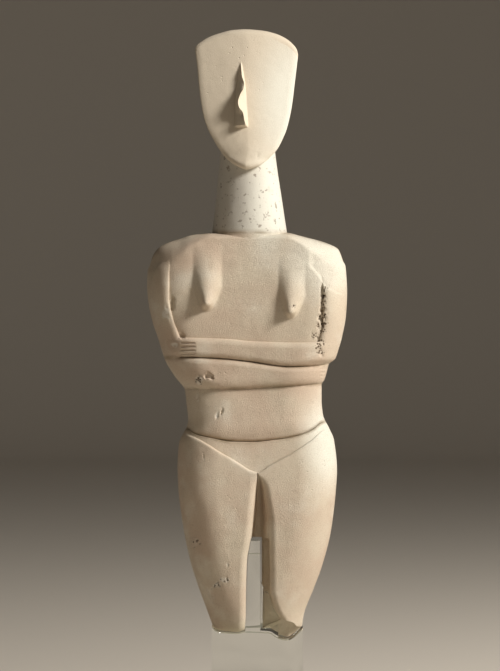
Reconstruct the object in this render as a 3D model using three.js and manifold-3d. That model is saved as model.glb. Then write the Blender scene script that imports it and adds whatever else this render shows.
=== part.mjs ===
// Folded-arm cycladic figurine of white marble, broken off at the knees, on its clear acrylic mount.
//
// Millimetres, +Z up. The origin is at the centre of the foot plate's underside, and the figurine faces -Y.
// Inside the figurine h is the height above the stone's lowest point, and x runs from the mount's centre
// line towards the figurine's left arm. The torso and legs, and the head, are two sheets each, a front one
// and a back one, drawn over a patch between four outlines and sewn together along them. The two legs are
// joined by a web high in the cleft and are separate below it.

import * as THREE from 'three';
import { mergeVertices } from 'three/addons/utils/BufferGeometryUtils.js';
import Module from 'manifold-3d';

// ---------------------------------------------------------------- driving dimensions

const FOOT = { width: 156, depth: 110, height: 12, bevel: 1.2 };
const GAP = 0.3;                 // between pieces that touch
const STONE_GAP = 0.5;           // between the stone and the acrylic cut to it
const STONE_BASE = 56;           // the stone's lowest point above the floor

const BLOCK = { left: -31.2, right: 31.6, depth: 44 };
const CRADLE_CELLS = 32;         // steps in the block's top, which is cut to the stone
const ROOT = 10;                 // how high in the block the tongue and the flare begin
const TONGUE = { depth: 27, top: 66.6, shoulder: 58.3, right: 2.1, overlap: 1 };
const FLARE = {
  front: -13.5, back: -5.2, from: 15.5, to: 30,
  fillet: [[7.9, 31.2], [5.1, 32.4], [4.2, 36.1], [2.1, 40]],
};

// Outlines seen from the front. Sides are [height, x] from the knees up, the other lines are [x, height].
const LEFT_SIDE = [[9, -31.2], [18.7, -34.7], [39.6, -42.3], [53.4, -46.5], [81.2, -52], [105.5, -54.8],
  [119.4, -55.2], [134.6, -54.1], [142.3, -50.7], [146.4, -48.6], [150.6, -47.9], [161, -48.9],
  [172.1, -50.3], [175.6, -52.7], [179.7, -56.2], [192.2, -63.8], [207.5, -68.7], [220, -72.9],
  [233.9, -75.6], [244.3, -76.3], [253.3, -76], [260.2, -73.6]];
const RIGHT_SIDE = [[7.6, 31.2], [16, 32.6], [32.6, 38.9], [49.3, 45.1], [74.3, 51.4], [103.4, 54.8],
  [115.9, 55.5], [136.7, 53.4], [145, 50], [154.1, 45.8], [164.5, 44.8], [174.9, 44.8], [178.7, 46.8],
  [183.2, 48.2], [189.5, 50], [192.9, 54.1], [198.5, 56.2], [208.2, 59], [224.2, 61.8], [238.7, 62.5],
  [257.1, 61.4], [260.9, 59.7]];
const SHOULDER_LINE = [[-73.6, 260.2], [-72.9, 263], [-70.8, 267.2], [-67.3, 270.7], [-60.4, 274.1],
  [-53.4, 276.2], [-46.5, 278.6], [-39.6, 279.7], [-31.2, 280.4], [20.1, 280.4], [29.1, 278.6],
  [36.8, 276.6], [43.7, 274.8], [51.4, 272], [56.2, 269.3], [58.3, 265.1], [59.7, 260.9]];
const FOREARM_TOP = [[-76.3, 208.9], [-50.7, 207.9], [-18.7, 206.8], [-4.9, 205.4], [29.8, 204.4],
  [62.5, 207.5]];
const FOREARM_GROOVE = [[-76.3, 192.9], [-52.7, 194.3], [-25.7, 193.3], [-4.9, 191.2], [22.9, 187.7],
  [38.2, 188.1], [47.2, 189.1], [62.5, 192.2]];
const FOREARM_FOOT = [[-76.3, 172.8], [-18.7, 172.5], [3.5, 173.5], [29.8, 174.9], [62.5, 176.3]];
const BELLY_GROOVE = [[-60.4, 146.5], [-48.6, 144.4], [-42.3, 140.9], [-31.2, 138.5], [-18, 136.3],
  [-3.5, 136], [9.7, 137.1], [22.2, 138.8], [30.5, 140.9], [38.5, 144.4], [44.4, 148.9], [54.1, 152]];
const THIGH_EDGE = [[-60.4, 142.3], [-49.3, 141.2], [-40.9, 138.1], [-35.4, 135.3], [-27.1, 130.1],
  [-14.6, 122.8], [-3.5, 116.2], [0.3, 115.2], [8.3, 120.1], [22.2, 127.7], [32.6, 134.2], [38.2, 138.1],
  [45.1, 143.7], [54.1, 147.8]];
const CLEFT_LEFT = [[5.6, -8.7], [15.3, -7.8], [32.6, -7.6], [54.1, -6.9], [68.7, -4.5], [90.2, -2.1],
  [115.2, -0.1], [140, -4], [180, -6], [280, -9]];
const CLEFT_RIGHT = [[4.9, 8.7], [33.3, 8.7], [81.2, 8.1], [98.5, 5.6], [109, 3.5], [115.2, 0.7],
  [140, 3], [180, 1.5], [280, -2]];
const CLEFT_RIGHT_BEHIND = [[4.9, 3.4], [81.2, 3.4], [98.5, 3], [109, 2.2], [115.2, 0.7], [140, 3],
  [180, 1.5], [280, -2]];
const BREAK_EDGE = [[13.2, 17.3], [20.1, 12.5], [25.7, 10.4], [32.6, 8.7]];
const STONE_FOOT = [[-31.2, 9], [-28.5, 6.2], [-24.3, 5.2], [-13.2, 4.5], [-8.7, 5.6], [8.7, 4.9],
  [12.5, 2.4], [16, 0.7], [20.1, 0], [24.3, 1.4], [27.8, 4.2], [31.2, 7.6]];
const BROKEN_FRONT_FOOT = [[8.7, 14.5], [17.3, 13.2], [25, 11.1], [27.8, 8.2], [31.2, 7.6]];
const LEFT_ARM_INNER = [[5, -20], [115, -36], [150, -42], [176, -45], [194.3, -52.7], [204, -52.7],
  [220, -57.6], [233.9, -60.4], [256.1, -60.4], [270, -62]];
const RIGHT_ARM_INNER = [[5, 22], [115, 38], [150, 38], [176, 39], [192.2, 43], [206.1, 43],
  [216.5, 45.1], [240.8, 45.1], [256.1, 44.4], [270, 42]];
const HEAD_LEFT = [[333.1, -22.9], [338, -26.4], [344.9, -30.5], [351.9, -34], [360.2, -36.8],
  [376.1, -39.6], [397, -41.6], [407.4, -43]];
const HEAD_RIGHT = [[330.3, 7.6], [338, 14.2], [344.9, 17.7], [351.9, 20.5], [367.1, 23.9], [386.6, 26.4],
  [403.9, 28.5]];
const CROWN = [[-43, 407.4], [-42.3, 410.2], [-39.6, 412.9], [-32.6, 417.1], [-25.7, 419.5],
  [-17.3, 421.6], [-8.3, 422.2], [3.5, 421.3], [12.5, 419.2], [19.4, 416.1], [24.3, 412.2], [27.8, 407.4],
  [28.5, 403.9]];
const CHIN = [[-22.9, 333.1], [-18, 328.3], [-11.8, 324.8], [-7.6, 323.4], [0.7, 325.5], [4.9, 328.3],
  [7.6, 330.3]];
const NECK_LEFT = [[268, -33], [280.4, -31.2], [330.3, -26], [346, -24.6]];
const NECK_RIGHT = [[268, 23], [280.4, 20.8], [303.3, 17.3], [331, 13.2], [346, 11.6]];

// Half-thickness in front of and behind the middle plane, against height.
const TORSO_FRONT = [[130, 19.5], [145, 18.5], [157, 17.6], [173, 17.2], [206, 19.5], [227, 21],
  [248, 21.5], [268, 20.5], [281, 19.5]];
const THIGH_FRONT = [[0, 17], [20, 19.5], [40, 21.5], [67, 23.5], [95, 24.5], [115, 23.5], [130, 22],
  [145, 20.5]];
const BODY_BACK = [[0, 17], [40, 20], [80, 21.5], [115, 23.5], [135, 22], [157, 17], [173, 17.5],
  [206, 20], [240, 21.5], [262, 20], [281, 18]];

const SIDE_REACH = 28;           // how far in from the outline the body is rounded
const SHOULDER_BAND = 7;         // how far below the shoulder line the grid is finer
const THIGH = {
  innerReach: 5, innerReachBehind: 10, innerDrop: 5,
  footReach: 7, footDrop: 5,
  edgeReach: 2.4, edgeDrop: 1.4,
};
const TORSO = { middle: -5.5, topReachAtNeck: 4.5, topReachAtShoulder: 17, neckEnd: 26, shoulderStart: 60 };
const TRIANGLE_DROP = 2.4;       // how far the pubic triangle lies below the thighs
const BELLY = { reach: 12, drop: 3.8 };
const CLEFT = {
  top: 115.2, webFoot: 69.5, frontDepth: 17.5, backDepth: 14, opening: 14, leftWall: 0.15, rightWall: 0.5,
};
const FOREARM = { rise: 3.8, upperReach: 4.2, lowerReach: 4.6, brow: 1.1 };
const UPPER_ARM = { rise: 3.4, reach: 8, top: 264, fadeFrom: 240, foot: 186, footFade: 10 };
const FINGERS = {
  count: 5, depth: 0.9, width: 1.8,
  left: { from: 194, to: 206.5, wrist: [-42, -44], tip: [-53, -51.5] },
  right: { from: 188.5, to: 176.2, wrist: [42.5, 44.5] },
};
const BREASTS = [
  { x: -35, tip: 225.5, left: 9, right: 11, length: 50, rise: 10 },
  { x: 22.6, tip: 220, left: 8, right: 10.5, length: 47, rise: 8 },
];
const BREAST = { tipShare: 0.11, widestShare: 0.55, fade: 1.4 };
const SPINE = { x: -5, depth: 1.8, width: 18, from: 160, full: 175 };
const SEAT = { height: 104, depth: 2, width: 18 };
const BREAK_STEP = [0.34, 0.5];  // where, on the way from front to back, a broken face steps inwards
const HEAD = {
  chinFront: 24.5, chinLow: 323.4, lean: 0.25, rim: 5, rimReach: 4, bow: 4.2, bowPower: 1.5,
  back: 17, backReach: 24, crownReach: 9,
};
const NECK = { halfDepth: [20.5, 14.8], centre: [0.5, 1.2] };
const NOSE = {
  x: -11.3, top: 397, tip: 353.5, underside: 1.2, ridgePower: 1.6,
  topHalfWidth: 1.6, tipHalfWidth: 4.6, topRise: 0.8, tipRise: 8.2,
};

const TINY = 1e-6;               // what counts as lying on an outline
const MERGE = 1e-3;              // how close vertices are before they become one
const CELLS = { wall: 6, neckRound: 28, neckUp: 4, tongue: 9, flare: 6 };
const CROSSING = { rounds: 40, damping: 0.7 };

// ---------------------------------------------------------------- curves and reliefs

const clamp = (t, low = 0, high = 1) => Math.min(high, Math.max(low, t));
const mix = (a, b, t) => a + (b - a) * t;

/** 0 at from, 1 at to, with a smooth S between them. */
function ease(from, to, t) {
  const s = clamp((t - from) / (to - from));
  return s * s * (3 - 2 * s);
}

/** A smooth curve through [t, value] points in rising t, without overshoot, held level beyond its ends. */
function through(points) {
  const slopes = points.slice(1).map((p, k) => (p[1] - points[k][1]) / (p[0] - points[k][0]));
  const tangents = points.map((_, k) => {
    const before = slopes[k - 1] ?? slopes[k];
    const after = slopes[k] ?? before;
    return before * after <= 0 ? 0 : (2 * before * after) / (before + after);
  });
  return (t) => {
    if (t <= points[0][0]) return points[0][1];
    if (t >= points.at(-1)[0]) return points.at(-1)[1];
    const k = points.findIndex((p) => p[0] > t) - 1;
    const span = points[k + 1][0] - points[k][0];
    const s = (t - points[k][0]) / span;
    const level = mix(points[k][1], points[k + 1][1], 3 * s ** 2 - 2 * s ** 3);
    return level + span * ((s ** 3 - 2 * s ** 2 + s) * tangents[k] + (s ** 3 - s ** 2) * tangents[k + 1]);
  };
}

/** A quarter round: 0 at the edge, 1 from reach inwards. */
function swell(distance, reach) {
  if (distance < TINY) return 0;
  const rest = 1 - clamp(distance / reach);
  return Math.sqrt(1 - rest * rest);
}

/** A smooth hump: 1 on the line, 0 from half the width away. */
const hump = (distance, width) => Math.cos(Math.PI * clamp(distance / width, -0.5, 0.5)) ** 2;

const leftSide = through(LEFT_SIDE);
const rightSide = through(RIGHT_SIDE);
const shoulderLine = through(SHOULDER_LINE);
const forearmTop = through(FOREARM_TOP);
const forearmGroove = through(FOREARM_GROOVE);
const forearmFoot = through(FOREARM_FOOT);
const bellyGroove = through(BELLY_GROOVE);
const thighEdge = through(THIGH_EDGE);
const cleftLeft = through(CLEFT_LEFT);
const cleftRight = through(CLEFT_RIGHT);
const cleftRightBehind = through(CLEFT_RIGHT_BEHIND);
const breakEdge = through(BREAK_EDGE);
const stoneFoot = through(STONE_FOOT);
const brokenFrontFoot = through(BROKEN_FRONT_FOOT);
const leftArmInner = through(LEFT_ARM_INNER);
const rightArmInner = through(RIGHT_ARM_INNER);
const torsoFront = through(TORSO_FRONT);
const thighFront = through(THIGH_FRONT);
const bodyBack = through(BODY_BACK);
const headLeft = through(HEAD_LEFT);
const headRight = through(HEAD_RIGHT);
const crown = through(CROWN);
const chin = through(CHIN);

/** Rounding towards the two sides and the shoulder line, 0 at the outline and 1 well inside it. */
function torsoRounding(x, h) {
  const outwards = ease(TORSO.neckEnd, TORSO.shoulderStart, Math.abs(x - TORSO.middle));
  const topReach = mix(TORSO.topReachAtNeck, TORSO.topReachAtShoulder, outwards);
  return swell(x - leftSide(h), SIDE_REACH) * swell(rightSide(h) - x, SIDE_REACH)
    * swell(shoulderLine(x) - h, topReach);
}

/** One pointed breast: a drop that rises steeply from its tip and its outer edges, and fades out above. */
function breastRise({ x: ridge, tip, left, right, length, rise }, x, h) {
  const up = clamp((h - tip) / length);
  const width = (x < ridge ? left : right) * Math.sqrt(clamp(up / BREAST.widestShare));
  if (up === 0 || up === 1 || Math.abs(x - ridge) >= width) return 0;
  const across = (1 - ((x - ridge) / width) ** 2) ** 1.5;
  return rise * across * ease(0, BREAST.tipShare, up) * (1 - up) ** BREAST.fade;
}

/** The folded arms: two upper arms and two forearms, the figurine's left forearm above its right one. */
function armRise(x, h) {
  const upper = FOREARM.rise * swell(h - forearmGroove(x), FOREARM.upperReach)
    * swell(forearmTop(x) - h, FOREARM.upperReach);
  const lower = FOREARM.rise * swell(h - forearmFoot(x), FOREARM.lowerReach)
    * swell(forearmGroove(x) - h, FOREARM.lowerReach);
  const fade = ease(UPPER_ARM.top, UPPER_ARM.fadeFrom, h)
    * ease(UPPER_ARM.foot, UPPER_ARM.foot + UPPER_ARM.footFade, h);
  const left = UPPER_ARM.rise * swell(leftArmInner(h) - x, UPPER_ARM.reach) * fade;
  const right = UPPER_ARM.rise * swell(x - rightArmInner(h), UPPER_ARM.reach) * fade;
  return Math.max(upper, lower, left, right);
}

/** The incised lines between the fingers of both hands. */
function fingerCut(x, h) {
  const { count, depth, width, left, right } = FINGERS;
  const onLeft = ease(...left.wrist, x) * ease(...left.tip, x);
  const onRight = ease(...right.wrist, x);
  let cut = 0;
  for (let finger = 1; finger < count; finger++) {
    cut += onLeft * hump(h - mix(left.from, left.to, finger / count), width);
    cut += onRight * hump(h - mix(right.from, right.to, finger / count), width);
  }
  return depth * cut;
}

/** How a leg is rounded: its outer side's rounding, and its drop towards the cleft and towards the knee. */
function legRounding(x, h, innerRight, innerReach) {
  const onLeft = x < (cleftLeft(h) + innerRight(h)) / 2;
  const outer = onLeft ? swell(x - leftSide(h), SIDE_REACH) : swell(rightSide(h) - x, SIDE_REACH);
  const inner = onLeft ? cleftLeft(h) - x : x - innerRight(h);
  const opened = ease(CLEFT.top, CLEFT.top - CLEFT.opening, h);
  const foot = THIGH.footDrop * (1 - swell(h - stoneFoot(x), THIGH.footReach));
  return { outer, drop: foot + opened * THIGH.innerDrop * (1 - swell(inner, innerReach)) };
}

/** How far the front surface lies in front of the middle plane. */
function frontDepth(x, h, innerRight) {
  if (h < thighEdge(x)) {
    const { outer, drop } = legRounding(x, h, innerRight, THIGH.innerReach);
    const edge = THIGH.edgeDrop * (1 - swell(thighEdge(x) - h, THIGH.edgeReach));
    return (thighFront(h) - edge - drop) * outer;
  }
  const rounding = torsoRounding(x, h);
  if (h < bellyGroove(x)) return (thighFront(h) - TRIANGLE_DROP) * rounding;
  const belly = BELLY.drop * (1 - swell(h - bellyGroove(x), BELLY.reach));
  let relief = armRise(x, h) - belly - fingerCut(x, h);
  for (const breast of BREASTS) relief += breastRise(breast, x, h);
  return (torsoFront(h) + relief) * rounding;
}

/** How far the back surface lies behind the middle plane. */
function backDepth(x, h) {
  if (h < thighEdge(x)) {
    const { outer, drop } = legRounding(x, h, cleftRightBehind, THIGH.innerReachBehind);
    const fold = SEAT.depth * hump(h - SEAT.height, SEAT.width);
    return (bodyBack(h) - fold - drop) * outer;
  }
  const spine = SPINE.depth * hump(x - SPINE.x, SPINE.width) * ease(SPINE.from, SPINE.full, h);
  return (bodyBack(h) - spine) * torsoRounding(x, h);
}

/** How far the cleft's floor lies below the surface, deepest where the web ends. It falls steeply from the
 *  left leg and slants up to the right one. */
function cleftDrop(x, h, right, deepest) {
  if (h >= CLEFT.top || x <= cleftLeft(h) || x >= right) return 0;
  const share = (x - cleftLeft(h)) / (right - cleftLeft(h));
  const across = ease(0, CLEFT.leftWall, share) * ease(0, CLEFT.rightWall, 1 - share);
  return deepest * across * Math.sqrt(clamp((CLEFT.top - h) / (CLEFT.top - CLEFT.webFoot)));
}

// ---------------------------------------------------------------- solids

const wasm = await Module();
wasm.setup();

/** The closed solid that a geometry bounds, with its shared vertices merged and flat triangles dropped. */
function solidOf(geometry) {
  geometry.deleteAttribute('normal');
  geometry.deleteAttribute('uv');
  const merged = mergeVertices(geometry, MERGE);
  const corners = merged.index.array;
  const triVerts = [];
  for (let k = 0; k < corners.length; k += 3) {
    const [a, b, c] = corners.slice(k, k + 3);
    if (a !== b && b !== c && a !== c) triVerts.push(a, b, c);
  }
  const mesh = new wasm.Mesh({
    numProp: 3,
    vertProperties: new Float32Array(merged.attributes.position.array),
    triVerts: new Uint32Array(triVerts),
  });
  return new wasm.Manifold(mesh);
}

function geometryOf(solid) {
  const { vertProperties, triVerts } = solid.getMesh();
  const geometry = new THREE.BufferGeometry();
  geometry.setAttribute('position', new THREE.Float32BufferAttribute(vertProperties, 3));
  geometry.setIndex(Array.from(triVerts));
  geometry.computeVertexNormals();
  return geometry;
}

// ---------------------------------------------------------------- patches

/** The lines of a grid: the key lines, and between them the given cells, closer together near the keys. */
function gridLines(keys) {
  const lines = [keys[0].line];
  keys.slice(1).forEach(({ line, cells, even }, k) => {
    for (let n = 1; n <= cells; n++) {
      const share = even ? n / cells : (1 - Math.cos((Math.PI * n) / cells)) / 2;
      lines.push((t) => mix(keys[k].line(t), line(t), share));
    }
  });
  return lines;
}

/** The point where a column, x against height, crosses a row, height against x. */
function crossing(column, row) {
  let h = row(0);
  let x = column(h);
  for (let round = 0; round < CROSSING.rounds; round++) {
    h = mix(h, row(x), CROSSING.damping);
    x = column(h);
  }
  return [x, h];
}

const offset = (line, by) => (t) => line(t) + by;

// The body's key lines. The third and fourth columns bound the cleft, and the second row is the web's foot.
const bodyColumns = (innerRight) => [
  { line: leftSide },
  { line: leftArmInner, cells: 5 },
  { line: cleftLeft, cells: 12, even: true },
  { line: innerRight, cells: 4 },
  { line: rightArmInner, cells: 12, even: true },
  { line: rightSide, cells: 5 },
];
const bodyRows = (foot) => [
  { line: foot },
  { line: () => CLEFT.webFoot, cells: 7 },
  { line: offset(thighEdge, -THIGH.edgeDrop), cells: 6 },
  { line: thighEdge, cells: 1 },
  { line: bellyGroove, cells: 2, even: true },
  { line: offset(bellyGroove, THIGH.edgeDrop), cells: 1 },
  { line: forearmFoot, cells: 4 },
  { line: offset(forearmFoot, FOREARM.brow), cells: 1 },
  { line: offset(forearmGroove, -FOREARM.brow), cells: 3 },
  { line: forearmGroove, cells: 1 },
  { line: offset(forearmGroove, FOREARM.brow), cells: 1 },
  { line: offset(forearmTop, -FOREARM.brow), cells: 3 },
  { line: forearmTop, cells: 1 },
  { line: offset(forearmTop, FOREARM.brow), cells: 1 },
  { line: offset(shoulderLine, -SHOULDER_BAND), cells: 11, even: true },
  { line: shoulderLine, cells: 3 },
];

/** How many cells of a grid lie before one of its key lines. */
const cellsBefore = (keys, which) => keys.slice(1, which + 1).reduce((sum, key) => sum + key.cells, 0);

/** A bag of triangles that becomes one closed solid once its shared vertices are merged. */
class Skin {
  constructor() {
    this.positions = [];
  }

  /** Adds the quads of a grid of points, point(i, j), leaving out the cells that keep(i, j) refuses.
   *  Each quad's diagonal points at the grid's nearest corner, so that none joins two sides of it there. */
  grid(across, up, point, flip = false, keep = () => true) {
    for (let i = 0; i < across; i++) {
      for (let j = 0; j < up; j++) {
        if (!keep(i, j)) continue;
        const [a, b, c, d] = [point(i, j), point(i + 1, j), point(i + 1, j + 1), point(i, j + 1)];
        const rising = i < across / 2 === j < up / 2;
        const pair = rising ? [[a, b, c], [a, c, d]] : [[a, b, d], [b, c, d]];
        for (const [p, q, r] of pair) this.positions.push(...p, ...(flip ? r : q), ...(flip ? q : r));
      }
    }
  }

  solid() {
    const loose = new THREE.BufferGeometry();
    loose.setAttribute('position', new THREE.Float32BufferAttribute(this.positions, 3));
    return solidOf(loose);
  }
}

/** Which point of a bridge from front to back lies how far along: straight, with its step in the middle. */
function bridge(front, back, share) {
  const step = ease(...BREAK_STEP, share);
  return [mix(front[0], back[0], step), mix(front[1], back[1], share), mix(front[2], back[2], step)];
}

/** The torso and legs: two sheets, the cleft's walls and web, and the broken faces at the knees. */
function buildBody() {
  const frontFoot = (x) => (x > 0 ? brokenFrontFoot(x) : stoneFoot(x));
  const frontInner = (h) => (h < BREAK_EDGE.at(-1)[0] ? breakEdge(h) : cleftRight(h));
  const sheet = (columnKeys, rowKeys, depthAt) => {
    const [columns, rows] = [gridLines(columnKeys), gridLines(rowKeys)];
    return columns.map((column) => rows.map((row) => {
      const [x, h] = crossing(column, row);
      return [x, depthAt(x, h), h];
    }));
  };
  const front = sheet(bodyColumns(frontInner), bodyRows(frontFoot), (x, h) => {
    const drop = cleftDrop(x, h, frontInner(h), CLEFT.frontDepth);
    return -Math.max(frontDepth(x, h, frontInner) - drop, 0);
  });
  const back = sheet(bodyColumns(cleftRightBehind), bodyRows(stoneFoot), (x, h) => {
    const drop = cleftDrop(x, h, cleftRightBehind(h), CLEFT.backDepth);
    return Math.max(backDepth(x, h) - drop, 0);
  });

  const across = front.length - 1;
  const up = front[0].length - 1;
  const [left, right] = [2, 3].map((column) => cellsBefore(bodyColumns(frontInner), column));
  const web = cellsBefore(bodyRows(frontFoot), 1);
  const solid = (i, j) => j >= web || i < left || i >= right;
  const skin = new Skin();
  skin.grid(across, up, (i, j) => front[i][j], false, solid);
  skin.grid(across, up, (i, j) => back[i][j], true, solid);
  const between = (i, j, k) => bridge(front[i][j], back[i][j], k / CELLS.wall);
  skin.grid(left, CELLS.wall, (i, k) => between(i, 0, k), true);
  skin.grid(across - right, CELLS.wall, (i, k) => between(right + i, 0, k), true);
  skin.grid(right - left, CELLS.wall, (i, k) => between(left + i, web, k), true);
  skin.grid(web, CELLS.wall, (j, k) => between(left, j, k), true);
  skin.grid(web, CELLS.wall, (j, k) => between(right, j, k), false);
  return skin.solid();
}

// ---------------------------------------------------------------- head and neck

/** The nose: a long wedge that widens and rises towards its tip, then drops back to the face. */
function noseRise(x, h) {
  const down = (NOSE.top - h) / (NOSE.top - NOSE.tip);
  if (down < 0) return 0;
  const along = clamp(down);
  const halfWidth = mix(NOSE.topHalfWidth, NOSE.tipHalfWidth, along);
  const ridge = 1 - clamp(Math.abs(x - NOSE.x) / halfWidth) ** NOSE.ridgePower;
  return mix(NOSE.topRise, NOSE.tipRise, along) * ridge * ease(NOSE.tip - NOSE.underside, NOSE.tip, h);
}

/** The head: a shield whose flat face leans back, rounded off behind, with a ridge along the crown. */
function buildHead() {
  const columns = gridLines([
    { line: headLeft },
    { line: () => NOSE.x - NOSE.tipHalfWidth, cells: 6 },
    { line: () => NOSE.x + NOSE.tipHalfWidth, cells: 4 },
    { line: headRight, cells: 6 },
  ]);
  const rows = gridLines([
    { line: chin },
    { line: () => NOSE.tip - NOSE.underside, cells: 6 },
    { line: () => NOSE.tip, cells: 1 },
    { line: crown, cells: 12 },
  ]);
  const points = columns.map((column) => rows.map((row) => crossing(column, row)));
  const sides = (x, h, side, foot, top) => swell(x - headLeft(h), side) * swell(headRight(h) - x, side)
    * swell(h - chin(x), foot) * swell(crown(x) - h, top);
  const faceAt = (h) => HEAD.chinFront - HEAD.lean * (h - HEAD.chinLow);
  const frontY = ([x, h]) => {
    const middle = (headLeft(h) + headRight(h)) / 2;
    const bow = HEAD.bow * Math.abs((x - middle) / (headRight(h) - middle)) ** HEAD.bowPower;
    const rounded = sides(x, h, HEAD.rimReach, HEAD.rimReach, HEAD.rimReach);
    return HEAD.rim - faceAt(h) - (HEAD.rim - bow) * rounded - noseRise(x, h) * rounded;
  };
  const backY = ([x, h]) => {
    const rim = HEAD.rim - faceAt(h);
    return mix(rim, HEAD.back, sides(x, h, HEAD.backReach, HEAD.backReach, HEAD.crownReach));
  };
  const skin = new Skin();
  const at = (depth) => (i, j) => [points[i][j][0], depth(points[i][j]), points[i][j][1]];
  skin.grid(columns.length - 1, rows.length - 1, at(frontY));
  skin.grid(columns.length - 1, rows.length - 1, at(backY), true);
  return skin.solid();
}

/** The neck: a tapering column between the shoulders and the back of the head. */
function buildNeck() {
  const left = through(NECK_LEFT);
  const right = through(NECK_RIGHT);
  const [low, high] = [NECK_LEFT[0][0], NECK_LEFT.at(-1)[0]];
  const ring = (i, j) => {
    const share = clamp(j, 0, CELLS.neckUp) / CELLS.neckUp;
    const h = mix(low, high, share);
    const centre = [(left(h) + right(h)) / 2, mix(...NECK.centre, share)];
    if (j < 0 || j > CELLS.neckUp) return [...centre, h];
    const turn = (2 * Math.PI * (i % CELLS.neckRound)) / CELLS.neckRound;
    const half = [(right(h) - left(h)) / 2, mix(...NECK.halfDepth, share)];
    return [centre[0] + half[0] * Math.cos(turn), centre[1] + half[1] * Math.sin(turn), h];
  };
  const skin = new Skin();
  skin.grid(CELLS.neckRound, CELLS.neckUp + 2, (i, j) => ring(i, j - 1));
  return skin.solid();
}

// ---------------------------------------------------------------- mount

/** A flat outline of [x, height] points, carried from one depth to another. */
function slab(outline, fromY, toY) {
  const shape = new THREE.Shape(outline.map(([x, h]) => new THREE.Vector2(x, h)));
  const geometry = new THREE.ExtrudeGeometry(shape, { depth: toY - fromY, bevelEnabled: false });
  geometry.rotateX(Math.PI / 2);
  geometry.translate(0, toY, 0);
  return solidOf(geometry);
}

/** Points [x, height] along a side line, given as x against height, moved sideways. */
function alongSide(line, from, to, count, by) {
  return Array.from({ length: count + 1 }, (_, k) => {
    const h = mix(from, to, k / count);
    return [line(h) + by, h];
  });
}

/** The clear block under the stone, its top cut to the broken underside, with a tongue up the cleft. */
function buildBlock() {
  const low = FOOT.height + GAP - STONE_BASE;
  const top = Array.from({ length: CRADLE_CELLS + 1 }, (_, k) => {
    const x = mix(BLOCK.right, BLOCK.left, k / CRADLE_CELLS);
    return [x, stoneFoot(x) - STONE_GAP];
  });
  const block = slab([[BLOCK.left, low], [BLOCK.right, low], ...top], -BLOCK.depth / 2, BLOCK.depth / 2);

  const root = low + ROOT;
  const halfTongue = TONGUE.depth / 2;
  const side = alongSide(cleftLeft, CLEFT_LEFT[0][0], TONGUE.shoulder, CELLS.tongue, STONE_GAP);
  const tongue = slab([
    [side[0][0], root],
    [TONGUE.right, root],
    [TONGUE.right, TONGUE.shoulder],
    ...side.reverse(),
  ], -halfTongue, halfTongue);
  const tip = slab([
    [side[0][0], TONGUE.shoulder - TONGUE.overlap],
    [TONGUE.right, TONGUE.shoulder - TONGUE.overlap],
    [TONGUE.right, TONGUE.top],
    [cleftLeft(TONGUE.top) + STONE_GAP, TONGUE.top],
  ], 0, halfTongue);

  const edge = alongSide(breakEdge, FLARE.from, FLARE.to, CELLS.flare, -2 * STONE_GAP);
  const flare = slab([
    [0, root],
    [edge[0][0], root],
    ...edge,
    ...FLARE.fillet,
    [0, FLARE.fillet.at(-1)[1]],
  ], FLARE.front, FLARE.back);
  return block.add(tongue).add(tip).add(flare);
}

/** The low foot: a plate with bevelled edges. */
function buildFoot() {
  const inset = FOOT.bevel;
  const halfWidth = FOOT.width / 2 - inset;
  const halfDepth = FOOT.depth / 2 - inset;
  const shape = new THREE.Shape([
    new THREE.Vector2(-halfWidth, -halfDepth),
    new THREE.Vector2(halfWidth, -halfDepth),
    new THREE.Vector2(halfWidth, halfDepth),
    new THREE.Vector2(-halfWidth, halfDepth),
  ]);
  const bevel = { bevelEnabled: true, bevelThickness: inset, bevelSize: inset, bevelSegments: 1 };
  const geometry = new THREE.ExtrudeGeometry(shape, { depth: FOOT.height - 2 * inset, ...bevel });
  geometry.translate(0, 0, inset);
  return geometryOf(solidOf(geometry));
}

// ---------------------------------------------------------------- assembly

const marble = new THREE.MeshStandardMaterial({
  name: 'marble', color: 0xd9c9b0, roughness: 0.62, metalness: 0,
});
const acrylic = new THREE.MeshStandardMaterial({
  name: 'clear_acrylic', color: 0xf2f4f2, roughness: 0.05, metalness: 0, transparent: true, opacity: 0.3,
});

function piece(name, geometry, material) {
  const mesh = new THREE.Mesh(geometry, material.clone());
  mesh.name = name;
  return mesh;
}

const part = new THREE.Group();
const mounted = new THREE.Group();
mounted.position.z = STONE_BASE;
mounted.add(
  piece('figurine', geometryOf(buildBody().add(buildNeck()).add(buildHead())), marble),
  piece('mount_block', geometryOf(buildBlock()), acrylic),
);
part.add(mounted, piece('mount_foot', buildFoot(), acrylic));

export default part;
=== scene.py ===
"""Dresses the folded-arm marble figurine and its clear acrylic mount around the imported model.

Shapes are worked out in millimetres, with h the height above the stone's lowest point and x measured from
the mount's centre line, and become metres only when a mesh is made. The figurine faces -Y.
"""

import logging
import math
from collections.abc import Callable, Sequence
from dataclasses import dataclass, field
from enum import Enum, IntEnum

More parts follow.
